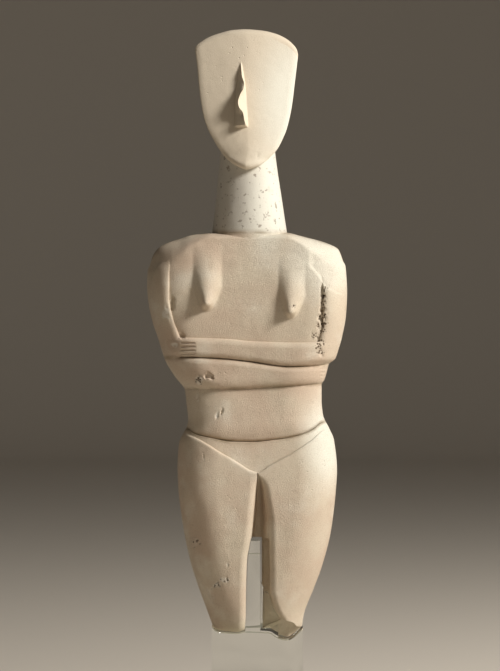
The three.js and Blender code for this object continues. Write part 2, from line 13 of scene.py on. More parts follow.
import bpy
import numpy as np
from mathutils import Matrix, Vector


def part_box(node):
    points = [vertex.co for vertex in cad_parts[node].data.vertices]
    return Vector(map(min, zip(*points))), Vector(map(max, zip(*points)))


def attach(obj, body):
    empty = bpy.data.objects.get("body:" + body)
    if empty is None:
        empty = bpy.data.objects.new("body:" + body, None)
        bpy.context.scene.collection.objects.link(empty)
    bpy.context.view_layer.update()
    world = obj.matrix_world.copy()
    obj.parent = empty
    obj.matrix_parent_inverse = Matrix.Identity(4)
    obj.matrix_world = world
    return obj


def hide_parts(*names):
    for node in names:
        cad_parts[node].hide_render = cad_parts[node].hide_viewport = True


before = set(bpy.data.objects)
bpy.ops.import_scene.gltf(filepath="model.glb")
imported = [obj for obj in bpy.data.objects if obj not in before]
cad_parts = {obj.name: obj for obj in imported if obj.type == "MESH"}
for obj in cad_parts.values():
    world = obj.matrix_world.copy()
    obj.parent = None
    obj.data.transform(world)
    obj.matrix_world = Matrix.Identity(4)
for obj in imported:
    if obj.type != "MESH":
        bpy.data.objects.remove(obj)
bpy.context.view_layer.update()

LOG = logging.getLogger("figurine")
MM = 0.001
ON_LINE_MM = 0.02

Array = np.ndarray
Line = Callable[[Array], Array]
Points = Sequence[tuple[float, float]]
Socket = bpy.types.NodeSocket
Colour = tuple[float, float, float, float]


# ---------------------------------------------------------------- curves, reliefs and grain


class Through:
    """A smooth curve through named points, without overshoot, held level beyond its ends.

    Between two points the value is the cubic that takes each end's value and slope, where the slope at a
    point is the harmonic mean of its two chords' slopes, or 0 where they change sign.
    """

    def __init__(self, points: Points) -> None:
        """Keeps the points and works out their slopes.

        Args:
            points: (t, value) pairs in rising t.
        """
        self.t, self.value = np.array(points, float).T
        chord = np.diff(self.value) / np.diff(self.t)
        before = np.concatenate([chord[:1], chord])
        after = np.concatenate([chord, chord[-1:]])
        both = before * after
        total = np.where(before + after == 0, 1.0, before + after)
        self.slope = np.where(both > 0, 2 * both / total, 0.0)

    def __call__(self, t: Array) -> Array:
        """The curve's value at each t.

        Args:
            t: where the curve is read.

        Returns:
            The values, with the shape of t.
        """
        k = np.clip(np.searchsorted(self.t, t, side="right") - 1, 0, len(self.t) - 2)
        span = self.t[k + 1] - self.t[k]
        s = np.clip((t - self.t[k]) / span, 0, 1)
        value = (2 * s**3 - 3 * s**2 + 1) * self.value[k] + (3 * s**2 - 2 * s**3) * self.value[k + 1]
        bend = (s**3 - 2 * s**2 + s) * self.slope[k] + (s**3 - s**2) * self.slope[k + 1]
        return value + span * bend


def mix(a: Array, b: Array, share: Array) -> Array:
    """The value that lies share of the way from a to b."""
    return a + (b - a) * share


def ease(start: float, end: float, t: Array) -> Array:
    """0 at start, 1 at end, with a smooth S between them; end may be below start."""
    s = np.clip((t - start) / (end - start), 0, 1)
    return s * s * (3 - 2 * s)


def swell(distance: Array, reach: Array | float) -> Array:
    """A quarter round: 0 on the edge, 1 from reach inwards, sqrt(1 - (1 - distance / reach)^2) between."""
    rest = 1 - np.clip(distance / reach, 0, 1)
    return np.where(distance < 1e-6, 0.0, np.sqrt(1 - rest * rest))


def hump(distance: Array, width: float) -> Array:
    """1 on the line, falling as cos^2 to 0 half the width away."""
    return np.cos(np.pi * np.clip(distance / width, -0.5, 0.5)) ** 2


@dataclass(frozen=True)
class Grain:
    """Seeded smooth random relief, about -1 to 1: random lattice values blended by an S between nodes."""

    seed: int
    size: float
    octaves: int = 3
    lattice: int = 61
    octave_shift: float = 7.3

    def __call__(self, x: Array, h: Array) -> Array:
        """The grain at each point.

        Args:
            x: first coordinate, in millimetres.
            h: second coordinate, in millimetres.

        Returns:
            The sum of the octaves, each half as large and half as wide as the one before.
        """
        table = np.random.default_rng(self.seed).uniform(-1, 1, (self.lattice, self.lattice))
        total = np.zeros(np.broadcast(x, h).shape)
        for octave in range(self.octaves):
            u, v = (c * 2**octave / self.size + self.octave_shift * octave for c in (x, h))
            i, j = np.floor(u).astype(int), np.floor(v).astype(int)
            a, b = (c * c * (3 - 2 * c) for c in (u - i, v - j))
            (i, right), (j, top) = (((c % self.lattice), (c + 1) % self.lattice) for c in (i, j))
            low = mix(table[i, j], table[right, j], a)
            high = mix(table[i, top], table[right, top], a)
            total = total + mix(low, high, b) / 2**octave
        return total


# ---------------------------------------------------------------- meshes


class Skin:
    """Triangles gathered sheet by sheet, sewn into one closed mesh where their vertices meet."""

    SEW_MM = 1e-4

    def __init__(self) -> None:
        """Starts empty."""
        self.corners: list[Array] = []

    def add(self, triangles: Array, flip: bool = False) -> None:
        """Adds triangles, an array of (n, 3, 3) corner points, turned over where flip is true."""
        self.corners.append(triangles[:, ::-1] if flip else triangles)

    def grid(self, points: Array, flip: bool = False, keep: Array | None = None) -> None:
        """Adds a grid's cells, each split along the diagonal that points at the nearest grid corner.

        Args:
            points: (columns, rows, 3) points; faces point out where columns run right and rows up, seen
                from outside.
            flip: turn the faces over.
            keep: (columns - 1, rows - 1) flags of the cells to keep; all where left out.
        """
        a, b, c, d = points[:-1, :-1], points[1:, :-1], points[1:, 1:], points[:-1, 1:]
        across, up = a.shape[:2]
        rising = (np.arange(across)[:, None] < across / 2) == (np.arange(up)[None] < up / 2)
        keep = np.ones((across, up), bool) if keep is None else keep
        splits = ((keep & rising, ((a, b, c), (a, c, d))), (keep & ~rising, ((a, b, d), (b, c, d))))
        for flags, pair in splits:
            for corners in pair:
                self.add(np.stack([p[flags] for p in corners], axis=1), flip)

    def coarse_grid(self, points: Array, flip: bool = False, keep: Array | None = None) -> None:
        """Adds a grid at half its density, but with every point along its borders.

        Cells of two by two become one quad; a cell on a border is a fan round its middle point, with two
        triangles on each side that is a border, so that it meets a full-density neighbour.

        Args:
            points: (columns, rows, 3) points, an even number of cells each way.
            flip: turn the faces over.
            keep: flags of the full-density cells to keep; all where left out.
        """
        cells = (points.shape[0] - 1, points.shape[1] - 1)
        kept = np.ones(cells, bool) if keep is None else keep
        wide = np.pad(kept[::2, ::2], 1)
        here = wide[1:-1, 1:-1]
        sides = {
            "low": ((0, 0), (1, 0), (2, 0), ~wide[1:-1, :-2]),
            "right": ((2, 0), (2, 1), (2, 2), ~wide[2:, 1:-1]),
            "high": ((2, 2), (1, 2), (0, 2), ~wide[1:-1, 2:]),
            "left": ((0, 2), (0, 1), (0, 0), ~wide[:-2, 1:-1]),
        }

        def at(step: tuple[int, int]) -> Array:
            """The cells' points at a step, in full-density cells, from each one's lower left corner."""
            i, j = step
            return points[i : cells[0] + 1 - (2 - i) : 2, j : cells[1] + 1 - (2 - j) : 2]

        border = here & np.logical_or.reduce([s[3] for s in sides.values()])
        plain = here & ~border
        for corners in (((0, 0), (2, 0), (2, 2)), ((0, 0), (2, 2), (0, 2))):
            self.add(np.stack([at(p)[plain] for p in corners], axis=1), flip)
        for start, middle, end, edge in sides.values():
            for flags, pair in (
                (border & ~edge, ((start, end),)),
                (border & edge, ((start, middle), (middle, end))),
            ):
                for first, second in pair:
                    fan = [at(p)[flags] for p in (first, second, (1, 1))]
                    self.add(np.stack(fan, axis=1), flip)

    def mesh(self, name: str, lift: Vector) -> bpy.types.Mesh:
        """Sews the triangles together and drops those that a merged corner has flattened.

        Args:
            name: the mesh's name.
            lift: where the shapes' own origin lies in the frame, in metres.

        Returns:
            The closed mesh, in metres.
        """
        corners = np.concatenate(self.corners).reshape(-1, 3)
        keys = np.round(corners / self.SEW_MM).astype(np.int64)
        _, first, index = np.unique(keys, axis=0, return_index=True, return_inverse=True)
        faces = index.reshape(-1, 3)
        faces = faces[(faces != np.roll(faces, 1, axis=1)).all(axis=1)]
        mesh = bpy.data.meshes.new(name)
        mesh.vertices.add(len(first))
        mesh.vertices.foreach_set("co", (corners[first] * MM + np.array(lift)).astype(np.float32).ravel())
        mesh.loops.add(faces.size)
        mesh.loops.foreach_set("vertex_index", faces.astype(np.int32).ravel())
        mesh.polygons.add(len(faces))
        mesh.polygons.foreach_set("loop_start", np.arange(0, faces.size, 3, dtype=np.int32))
        mesh.update(calc_edges=True)
        mesh.validate()
        return mesh


@dataclass(frozen=True)
class Key:
    """A named line of a patch, and how many cells lead up to it from the one before."""

    line: Line
    cells: int = 0
    even: bool = False


class Patch:
    """A grid over an area bounded by four outlines, whose inner lines follow the named key lines.

    A column is x against height and a row is height against x. Between two keys a line blends them, and the
    grid's points are where columns and rows cross, found by putting each into the other in turn.
    """

    ROUNDS = 40
    DAMPING = 0.7

    def __init__(self, columns: Sequence[Key], rows: Sequence[Key]) -> None:
        """Keeps the keys and finds the crossings.

        Args:
            columns: keys from left to right.
            rows: keys from the bottom up.
        """
        self.columns = self._shares(columns)
        self.rows = self._shares(rows)
        self.column_marks = np.cumsum([key.cells for key in columns])
        self.row_marks = np.cumsum([key.cells for key in rows])
        shape = (self.column_marks[-1] + 1, self.row_marks[-1] + 1)
        h = self._along(self.rows, np.zeros(shape), 1)
        x = self._along(self.columns, h, 0)
        for _ in range(self.ROUNDS):
            h = mix(h, self._along(self.rows, x, 1), self.DAMPING)
            x = self._along(self.columns, h, 0)
        self.x, self.h = x, h

    @staticmethod
    def _shares(keys: Sequence[Key]) -> list[tuple[Line, Line, Array]]:
        """For each run of cells: its two key lines, and each new line's share of the way between them.

        Args:
            keys: the key lines, in order.

        Returns:
            (low line, high line, shares) for each run.
        """
        runs = [(keys[0].line, keys[0].line, np.zeros(1))]
        for low, high in zip(keys, keys[1:]):
            steps = np.arange(1, high.cells + 1) / high.cells
            runs.append((low.line, high.line, steps if high.even else (1 - np.cos(np.pi * steps)) / 2))
        return runs

    @staticmethod
    def _along(runs: list[tuple[Line, Line, Array]], t: Array, axis: int) -> Array:
        """The lines' values at t, run by run along one axis of the grid.

        Args:
            runs: the runs of cells.
            t: where each line is read.
            axis: 0 where the runs follow each other across, 1 upwards.

        Returns:
            One value for each grid point.
        """
        parts, start = [], 0
        for low, high, share in runs:
            here = np.take(t, range(start, start + len(share)), axis)
            parts.append(mix(low(here), high(here), share[:, None] if axis == 0 else share[None]))
            start += len(share)
        return np.concatenate(parts, axis)


def apply_modifiers(piece: bpy.types.Object) -> bpy.types.Object:
    """Gives a piece the mesh that its modifiers make, and takes them off.

    Args:
        piece: the piece.

    Returns:
        The same piece.
    """
    done = bpy.data.meshes.new_from_object(piece.evaluated_get(bpy.context.evaluated_depsgraph_get()))
    piece.modifiers.clear()
    piece.data = done
    return piece


def linked(name: str, mesh: bpy.types.Mesh) -> bpy.types.Object:
    """A new object of that mesh, linked to the scene.

    Args:
        name: the object's name.
        mesh: its mesh.

    Returns:
        The object.
    """
    piece = bpy.data.objects.new(name, mesh)
    bpy.context.scene.collection.objects.link(piece)
    return piece


# ---------------------------------------------------------------- the figurine's outlines


class Outline:
    """The figurine's outlines and carved lines, seen from the front, in millimetres.

    Sides are x against height, from the knees up, and the other lines are height against x.
    """

    left_side = Through([
        (9, -31.2), (18.7, -34.7), (39.6, -42.3), (53.4, -46.5), (81.2, -52), (105.5, -54.8),
        (119.4, -55.2), (134.6, -54.1), (142.3, -50.7), (146.4, -48.6), (150.6, -47.9), (161, -48.9),
        (172.1, -50.3), (175.6, -52.7), (179.7, -56.2), (192.2, -63.8), (207.5, -68.7), (220, -72.9),
        (233.9, -75.6), (244.3, -76.3), (253.3, -76), (260.2, -73.6),
    ])
    right_side = Through([
        (7.6, 31.2), (16, 32.6), (32.6, 38.9), (49.3, 45.1), (74.3, 51.4), (103.4, 54.8), (115.9, 55.5),
        (136.7, 53.4), (145, 50), (154.1, 45.8), (164.5, 44.8), (174.9, 44.8), (178.7, 46.8),
        (183.2, 48.2), (189.5, 50), (192.9, 54.1), (198.5, 56.2), (208.2, 59), (224.2, 61.8),
        (238.7, 62.5), (257.1, 61.4), (260.9, 59.7),
    ])
    shoulder_line = Through([
        (-73.6, 260.2), (-72.9, 263), (-70.8, 267.2), (-67.3, 270.7), (-60.4, 274.1), (-53.4, 276.2),
        (-46.5, 278.6), (-39.6, 279.7), (-31.2, 280.4), (20.1, 280.4), (29.1, 278.6), (36.8, 276.6),
        (43.7, 274.8), (51.4, 272), (56.2, 269.3), (58.3, 265.1), (59.7, 260.9),
    ])
    forearm_top = Through([
        (-76.3, 208.9), (-50.7, 207.9), (-18.7, 206.8), (-4.9, 205.4), (29.8, 204.4), (62.5, 207.5),
    ])
    forearm_groove = Through([
        (-76.3, 192.9), (-52.7, 194.3), (-25.7, 193.3), (-4.9, 191.2), (22.9, 187.7), (38.2, 188.1),
        (47.2, 189.1), (62.5, 192.2),
    ])
    forearm_foot = Through([(-76.3, 172.8), (-18.7, 172.5), (3.5, 173.5), (29.8, 174.9), (62.5, 176.3)])
    belly_groove = Through([
        (-60.4, 146.5), (-48.6, 144.4), (-42.3, 140.9), (-31.2, 138.5), (-18, 136.3), (-3.5, 136),
        (9.7, 137.1), (22.2, 138.8), (30.5, 140.9), (38.5, 144.4), (44.4, 148.9), (54.1, 152),
    ])
    thigh_edge = Through([
        (-60.4, 142.3), (-49.3, 141.2), (-40.9, 138.1), (-35.4, 135.3), (-27.1, 130.1), (-14.6, 122.8),
        (-3.5, 116.2), (0.3, 115.2), (8.3, 120.1), (22.2, 127.7), (32.6, 134.2), (38.2, 138.1),
        (45.1, 143.7), (54.1, 147.8),
    ])
    cleft_left = Through([
        (5.6, -8.7), (15.3, -7.8), (32.6, -7.6), (54.1, -6.9), (68.7, -4.5), (90.2, -2.1), (115.2, -0.1),
        (140, -4), (180, -6), (280, -9),
    ])
    cleft_right = Through([
        (4.9, 8.7), (33.3, 8.7), (81.2, 8.1), (98.5, 5.6), (109, 3.5), (115.2, 0.7), (140, 3), (180, 1.5),
        (280, -2),
    ])
    cleft_right_behind = Through([
        (4.9, 3.4), (81.2, 3.4), (98.5, 3), (109, 2.2), (115.2, 0.7), (140, 3), (180, 1.5), (280, -2),
    ])
    break_edge = Through([(13.2, 17.3), (20.1, 12.5), (25.7, 10.4), (32.6, 8.7)])
    stone_foot = Through([
        (-31.2, 9), (-28.5, 6.2), (-24.3, 5.2), (-13.2, 4.5), (-8.7, 5.6), (8.7, 4.9), (12.5, 2.4),
        (16, 0.7), (20.1, 0), (24.3, 1.4), (27.8, 4.2), (31.2, 7.6),
    ])
    broken_front_foot = Through([(8.7, 14.5), (17.3, 13.2), (25, 11.1), (27.8, 8.2), (31.2, 7.6)])
    left_arm_inner = Through([
        (5, -20), (115, -36), (150, -42), (176, -45), (194.3, -52.7), (204, -52.7), (220, -57.6),
        (233.9, -60.4), (256.1, -60.4), (270, -62),
    ])
    right_arm_inner = Through([
        (5, 22), (115, 38), (150, 38), (176, 39), (192.2, 43), (206.1, 43), (216.5, 45.1), (240.8, 45.1),
        (256.1, 44.4), (270, 42),
    ])
    head_left = Through([
        (333.1, -22.9), (338, -26.4), (344.9, -30.5), (351.9, -34), (360.2, -36.8), (376.1, -39.6),
        (397, -41.6), (407.4, -43),
    ])
    head_right = Through([
        (330.3, 7.6), (338, 14.2), (344.9, 17.7), (351.9, 20.5), (367.1, 23.9), (386.6, 26.4),
        (403.9, 28.5),
    ])
    crown = Through([
        (-43, 407.4), (-42.3, 410.2), (-39.6, 412.9), (-32.6, 417.1), (-25.7, 419.5), (-17.3, 421.6),
        (-8.3, 422.2), (3.5, 421.3), (12.5, 419.2), (19.4, 416.1), (24.3, 412.2), (27.8, 407.4),
        (28.5, 403.9),
    ])
    chin = Through([
        (-22.9, 333.1), (-18, 328.3), (-11.8, 324.8), (-7.6, 323.4), (0.7, 325.5), (4.9, 328.3),
        (7.6, 330.3),
    ])
    neck_left = Through([(268, -33), (280.4, -31.2), (330.3, -26), (346, -24.6)])
    neck_right = Through([(268, 23), (280.4, 20.8), (303.3, 17.3), (331, 13.2), (346, 11.6)])

    flake_edge = Through([
        (35.4, 257.5), (43.7, 248.5), (46.5, 242.6), (52.7, 239.1), (58.3, 236.6), (62.5, 236),
    ])

    break_top = 32.6
    cleft_top = 115.2
    web_foot = 69.5
    chin_low = 323.4
    waist = 150.0
    neck_foot = 268.0
    neck_top = 346.0

    @classmethod
    def front_inner_right(cls, h: Array) -> Array:
        """The right leg's inner edge on the front: the cleft's edge, and the broken edge near the knee."""
        return np.where(h < cls.break_top, cls.break_edge(h), cls.cleft_right(h))

    @classmethod
    def front_foot(cls, x: Array) -> Array:
        """The stone's lower edge on the front, where the right knee has lost its inner corner."""
        return np.where(x > 0, cls.broken_front_foot(x), cls.stone_foot(x))


def above(line: Line, by: float) -> Line:
    """The line moved up by that much, or down where by is negative."""
    return lambda t: line(t) + by


def level(value: float) -> Line:
    """A line of one value."""
    return lambda t: np.full(np.shape(t), float(value))


def below(line: Line, x: Array, h: Array) -> Array:
    """Whether points lie below the line; those on it count as above."""
    return h < line(x) - ON_LINE_MM


# ---------------------------------------------------------------- damage


class Seed(IntEnum):
    """The starting number of each random relief."""

    FRONT = 3
    BACK = 11
    FACE = 17
    NAPE = 19
    NOSE = 23
    NECK = 31
    BREAK_DEPTH = 37
    BREAK_HEIGHT = 38
    FLAKE = 41
    GROOVE = 43


class Mark(Enum):
    """What a spot of damage looks like."""

    CHIP = "a broken hollow with a rough floor"
    PITS = "a patch of small deep pits"
    BRUISE = "a crushed, whitened spot"


@dataclass(frozen=True)
class Flaw:
    """One spot of damage on the front: an ellipse with a ragged edge, in millimetres and degrees."""

    x: float
    h: float
    half_width: float
    half_height: float
    depth: float
    kind: Mark = Mark.CHIP
    turn: float = 0.0
    white: float = 0.6
    raggedness: float = 0.35

    def share(self, x: Array, h: Array) -> Array:
        """How much of the flaw is at each point: 1 in its middle, 0 from its ragged edge outwards.

        The edge is where the ellipse's radius, shaken by grain, reaches 1.
        

        Args:
            x: across, in millimetres.
            h: height, in millimetres.

        Returns:
            The share, 0 to 1.
        """
        turn = math.radians(self.turn)
        dx, dh = x - self.x, h - self.h
        u = (dx * math.cos(turn) + dh * math.sin(turn)) / self.half_width
        v = (dh * math.cos(turn) - dx * math.sin(turn)) / self.half_height
        ragged = self.raggedness * Grain(int(abs(self.x * 7 + self.h * 3)), 2.6)(x, h)
        return ease(1.0, 0.55, np.hypot(u, v) + ragged)

    def cut(self, x: Array, h: Array) -> Array:
        """How deep the flaw goes at each point: its depth times its share, times its own grain.

        Args:
            x: across, in millimetres.
            h: height, in millimetres.

        Returns:
            The depth, in millimetres.
        """
        reach = 2.5 * (self.half_width + self.half_height)
        near = np.maximum(np.abs(x - self.x), np.abs(h - self.h)) < reach
        if not near.any():
            return np.zeros(x.shape)
        grain = Grain(int(abs(self.h * 5 + self.x)), 1.9 if self.kind is Mark.CHIP else 2.3, 2)(x, h)
        floor = {
            Mark.CHIP: 0.75 + 0.35 * grain,
            Mark.PITS: ease(0.15, 0.75, grain),
            Mark.BRUISE: 0.5 + 0.5 * grain,
        }[self.kind]
        return np.where(near, self.depth * self.share(x, h) * floor, 0)


FLAWS = (
    Flaw(-73.6, 257.4, 3.2, 2.6, 2.4, white=0.2),
    Flaw(-75, 248, 2.2, 4, 0.9, white=0.1),
    Flaw(57.6, 264, 2.8, 1.8, 1.1, white=0.1),
    Flaw(-58.4, 231.4, 1.5, 5.6, 2.0, white=0.0),
    Flaw(-62.6, 224.5, 3.6, 6.6, 0.5, Mark.BRUISE, white=0.6),
    Flaw(-51.6, 208.6, 1.5, 3.0, 2.2, white=0.0),
    Flaw(-56.6, 202.6, 2.4, 2.0, 0.4, Mark.BRUISE, white=0.6),
    Flaw(-33.6, 181.2, 3.2, 2.8, 2.0, white=0.15),
    Flaw(-40.2, 178.2, 3.0, 3.4, 1.4, Mark.PITS, white=0.5),
    Flaw(-41, 166, 1.2, 4.6, 0.9, white=0.5),
    Flaw(-27.6, 153.8, 1.6, 2.4, 0.6, white=0.7),
    Flaw(-24.2, 157.4, 1.0, 2.4, 1.3, turn=-18, white=0.0),
    Flaw(-37.1, 125.6, 0.9, 0.9, 1.4, white=0.0),
    Flaw(-36.5, 124.6, 0.7, 0.7, 0.3, Mark.BRUISE, white=0.6),
    Flaw(-50.6, 108.6, 1.8, 2.0, 1.5, white=0.2),
    Flaw(-52.6, 106.6, 1.6, 1.4, 0.4, Mark.BRUISE, white=0.7),
    Flaw(-43, 66.6, 3.6, 3.2, 0.9, Mark.PITS, turn=20, white=0.2),
    Flaw(-20.2, 51.3, 1.6, 1.4, 0.4, Mark.BRUISE, white=0.5),
    Flaw(-22.6, 41, 4.2, 2.0, 1.1, Mark.PITS, white=0.5),
    Flaw(-28.4, 37.4, 4.6, 2.6, 1.4, Mark.PITS, turn=20, white=0.7),
    Flaw(-33.2, 32, 0.9, 6.2, 1.2, turn=24, white=0.3),
    Flaw(-30.8, 30.6, 0.6, 5.0, 0.7, turn=24, white=0.3),
    Flaw(24.3, 229.6, 2.6, 2.4, 1.0, Mark.PITS, white=0.1),
    Flaw(45.6, 236, 2.8, 11, 2.2, Mark.PITS, white=0.0),
    Flaw(44.8, 219, 3.6, 12, 1.8, Mark.PITS, white=0.0),
    Flaw(42.6, 203, 5.0, 10, 1.0, Mark.PITS, turn=8, white=0.0),
    Flaw(0.4, 332.4, 0.9, 0.8, 0.5, white=0.0),
)


@dataclass(frozen=True)
class PaintedLightPatch:
    """A soft-edged patch of painted light, paler colour where the key light falls: an ellipse, in
    millimetres.
    """

    x: float
    h: float
    half_width: float
    half_height: float
    white: float

    def share(self, x: Array, h: Array) -> Array:
        """How much painted light each point gets: full in the middle, fading smoothly to nothing at the
        ellipse.
        """
        radius = np.hypot((x - self.x) / self.half_width, (h - self.h) / self.half_height)
        return self.white * ease(1, 0.2, radius)


# Painted light: paler patches on the face, neck, right shoulder and right hip, on the side the key light
# falls on.
PAINTED_LIGHT_PATCHES = (
    PaintedLightPatch(24, 370, 34, 70, 0.8),
    PaintedLightPatch(49, 136, 26, 46, 0.8),
    PaintedLightPatch(46, 262, 44, 34, 0.6),
    PaintedLightPatch(8, 300, 22, 60, 0.6),
)


# ---------------------------------------------------------------- the figurine


@dataclass(frozen=True)
class Breast:
    """One breast: a pointed drop whose tip hangs down, in millimetres."""

    x: float
    tip: float
    left: float
    right: float
    length: float
    rise: float
    widest_share: float = 0.34
    tip_share: float = 0.12
    roundness: float = 1.2
    fade: float = 1.4

    def height(self, x: Array, h: Array) -> Array:
        """Its relief: 1 - across^2, to the power of its roundness, to each side of its ridge, widening as
        a square root from the tip, times a steep start at the tip and a slow fade towards the shoulder.

        Args:
            x: across, in millimetres.
            h: height, in millimetres.

        Returns:
            The relief, in millimetres.
        """
        up = np.clip((h - self.tip) / self.length, 0, 1)
        widening = np.sqrt(np.clip(up / self.widest_share, 1e-9, 1))
        width = np.where(x < self.x, self.left, self.right) * widening
        across = np.clip(1 - ((x - self.x) / width) ** 2, 0, 1) ** self.roundness
        return self.rise * across * ease(0, self.tip_share, up) * (1 - up) ** self.fade


@dataclass(frozen=True)
class Nose:
    """The nose: a long wedge between two feet, its crest broken away in a wandering line.

    The crest, its rise and the feet run against height, in millimetres.
    """

    tip: float = 354.0
    underside: float = 1.6
    crest: Through = Through([
        (354, -8.0), (357.4, -8.8), (362.3, -9.7), (365.9, -12.3), (369.4, -13.1), (375.8, -11.4),
        (379.3, -9.4), (382.9, -9.0), (388.6, -10.5), (398.5, -11.2),
    ])
    rise: Through = Through([
        (354, 6.6), (362, 7.0), (368, 8.2), (375, 6.8), (381, 5.2), (389, 3.6), (395, 1.5), (398.5, 0),
    ])
    left_foot: Through = Through([(354, -16.0), (376, -14.6), (398.5, -12.0)])
    right_foot: Through = Through([(354, -6.0), (376, -7.4), (398.5, -10.4)])
    raggedness: float = 0.8
    left_power: float = 0.75
    right_power: float = 1.4

    def height(self, x: Array, h: Array) -> Array:
        """Its relief: from each foot to the crest a flank that rises as a power of the way up it.

        Args:
            x: across, in millimetres.
            h: height, in millimetres.

        Returns:
            The relief, in millimetres.
        """
        crest, left, right = self.crest(h), self.left_foot(h), self.right_foot(h)
        from_left = np.clip((x - left) / (crest - left), 0, 1) ** self.left_power
        from_right = np.clip((right - x) / (right - crest), 0, 1) ** self.right_power
        flank = np.minimum(from_left, from_right)
        ragged = self.raggedness * Grain(Seed.NOSE, 2.6, 2)(x, h) * ease(396, 380, h)
        return (self.rise(h) + ragged) * flank * ease(self.tip - self.underside, self.tip, h)


@dataclass
class Figurine:
    """The marble: torso and legs, neck and head, cut from one block, broken off at the knees."""

    node: str = "figurine"
    side_reach: float = 28.0
    neck_reach: float = 4.5
    shoulder_reach: float = 17.0
    triangle_drop: float = 2.4
    belly_reach: float = 12.0
    belly_drop: float = 3.8
    forearm_rise: float = 3.8
    forearm_reach: float = 4.4
    upper_arm_rise: float = 3.4
    upper_arm_reach: float = 8.0
    inner_drop: float = 5.0
    inner_reach: float = 5.0
    foot_drop: float = 5.0
    foot_reach: float = 7.0
    cleft_front: float = 17.5
    cleft_back: float = 14.0
    finger_depth: float = 1.1
    finger_width: float = 1.9
    break_relief: float = 1.2
    groove_width: float = 3.2
    groove_offset: float = 0.6
    flake_depth: float = 1.1
    edge_drop: float = 1.4
    edge_reach: float = 2.4
    seat_height: float = 104.0
    seat_fold: float = 2.0
    spine_x: float = -5.0
    spine_depth: float = 1.8
    back_swell: float = 18.0
    knee_depth: float = 20.0
    chin_front: float = 24.5
    face_lean: float = 0.25
    face_bow: float = 4.2
    head_rim: float = 5.0
    head_back: float = 17.0
    wall_cells: int = 16
    neck_rings: int = 53
    neck_sides: int = 96
    neck_girth: float = 34.0
    neck_wear: float = 0.012
    torso_front: Through = Through([
        (130, 19.5), (145, 18.5), (157, 17.6), (173, 17.2), (206, 19.5), (227, 21), (248, 21.5),
        (268, 20.5), (281, 19.5),
    ])
    thigh_front: Through = Through([
        (0, 17), (20, 19.5), (40, 21.5), (67, 23.5), (95, 24.5), (115, 23.5), (130, 22), (145, 20.5),
    ])
    body_back: Through = Through([
        (0, 17), (40, 20), (80, 21.5), (115, 23.5), (135, 22), (157, 17), (173, 17.5), (206, 20),
        (240, 21.5), (262, 20), (281, 18),
    ])
    neck_half_depth: Through = Through([(268, 20.8), (280.4, 20.5), (346, 14.8)])
    breasts: tuple[Breast, ...] = (Breast(-35, 225.5, 9, 11, 50, 10), Breast(22.6, 220, 8, 10.5, 47, 8))
    nose: Nose = Nose()
    lift: Vector = field(init=False)

    def __post_init__(self) -> None:
        """Finds where the stone stands: its foot's height, and the middle of the mount's foot."""
        low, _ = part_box(self.node)
        foot_low, foot_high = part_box("mount_foot")
        middle = (foot_low + foot_high) / 2
        self.lift = Vector((middle.x, middle.y, low.z))

    # -- the body's two surfaces

    def rounding(self, x: Array, h: Array) -> Array:
        """The torso's rounding: 0 on its sides and shoulder line, 1 well inside, quarter rounds between.

        Args:
            x: across, in millimetres.
            h: height, in millimetres.

        Returns:
            The share, 0 to 1.
        """
        outwards = ease(26, 60, np.abs(x + 5.5))
        top_reach = mix(self.neck_reach, self.shoulder_reach, outwards)
        return (
            swell(x - Outline.left_side(h), self.side_reach)
            * swell(Outline.right_side(h) - x, self.side_reach)
            * swell(Outline.shoulder_line(x) - h, top_reach)
        )

    def arms(self, x: Array, h: Array) -> Array:
        """The folded arms' relief: the highest of two forearm bands and two upper arms at each point.

        Args:
            x: across, in millimetres.
            h: height, in millimetres.

        Returns:
            The relief, in millimetres.
        """
        reach = self.forearm_reach
        groove, top, foot = Outline.forearm_groove(x), Outline.forearm_top(x), Outline.forearm_foot(x)
        upper = self.forearm_rise * swell(h - groove, reach) * swell(top - h, reach)
        lower = self.forearm_rise * swell(h - foot, 1.5 * reach) * swell(groove - h, reach)
        fade = ease(264, 240, h) * ease(186, 196, h)
        left = swell(Outline.left_arm_inner(h) - x, self.upper_arm_reach) * fade
        right = swell(x - Outline.right_arm_inner(h), self.upper_arm_reach) * fade * ease(252, 240, h)
        return np.maximum(np.maximum(upper, lower), self.upper_arm_rise * np.maximum(left, right))

    def fingers(self, x: Array, h: Array) -> Array:
        """The depth of the lines between the fingers: four narrow humps on each hand.

        Args:
            x: across, in millimetres.
            h: height, in millimetres.

        Returns:
            The depth, in millimetres.
        """
        on_left = ease(-42, -44, x) * ease(-53, -51.5, x)
        on_right = ease(42.5, 44.5, x)
        cut = np.zeros(x.shape)
        for finger in range(1, 5):
            cut += on_left * hump(h - mix(194, 206.5, finger / 5), self.finger_width)
            cut += on_right * hump(h - mix(188.5, 176.2, finger / 5), self.finger_width)
        return self.finger_depth * cut

    def leg_rounding(self, x: Array, h: Array, right: Line, reach: float) -> tuple[Array, Array]:
        """How a leg is rounded.

        Args:
            x: across, in millimetres.
            h: height, in millimetres.
            right: the right leg's inner edge.
            reach: how far in from the cleft the surface is rounded.

        Returns:
            The share left by the outer side's rounding, and the drop towards the cleft and the knee.
        """
        on_left = x < (Outline.cleft_left(h) + right(h)) / 2
        outer = np.where(on_left, x - Outline.left_side(h), Outline.right_side(h) - x)
        inner = np.where(on_left, Outline.cleft_left(h) - x, x - right(h))
        opened = ease(Outline.cleft_top, Outline.cleft_top - 14, h)
        drop = opened * self.inner_drop * (1 - swell(inner, reach))
        drop = drop + self.foot_drop * (1 - swell(h - Outline.stone_foot(x), self.foot_reach))
        return swell(outer, self.side_reach), drop

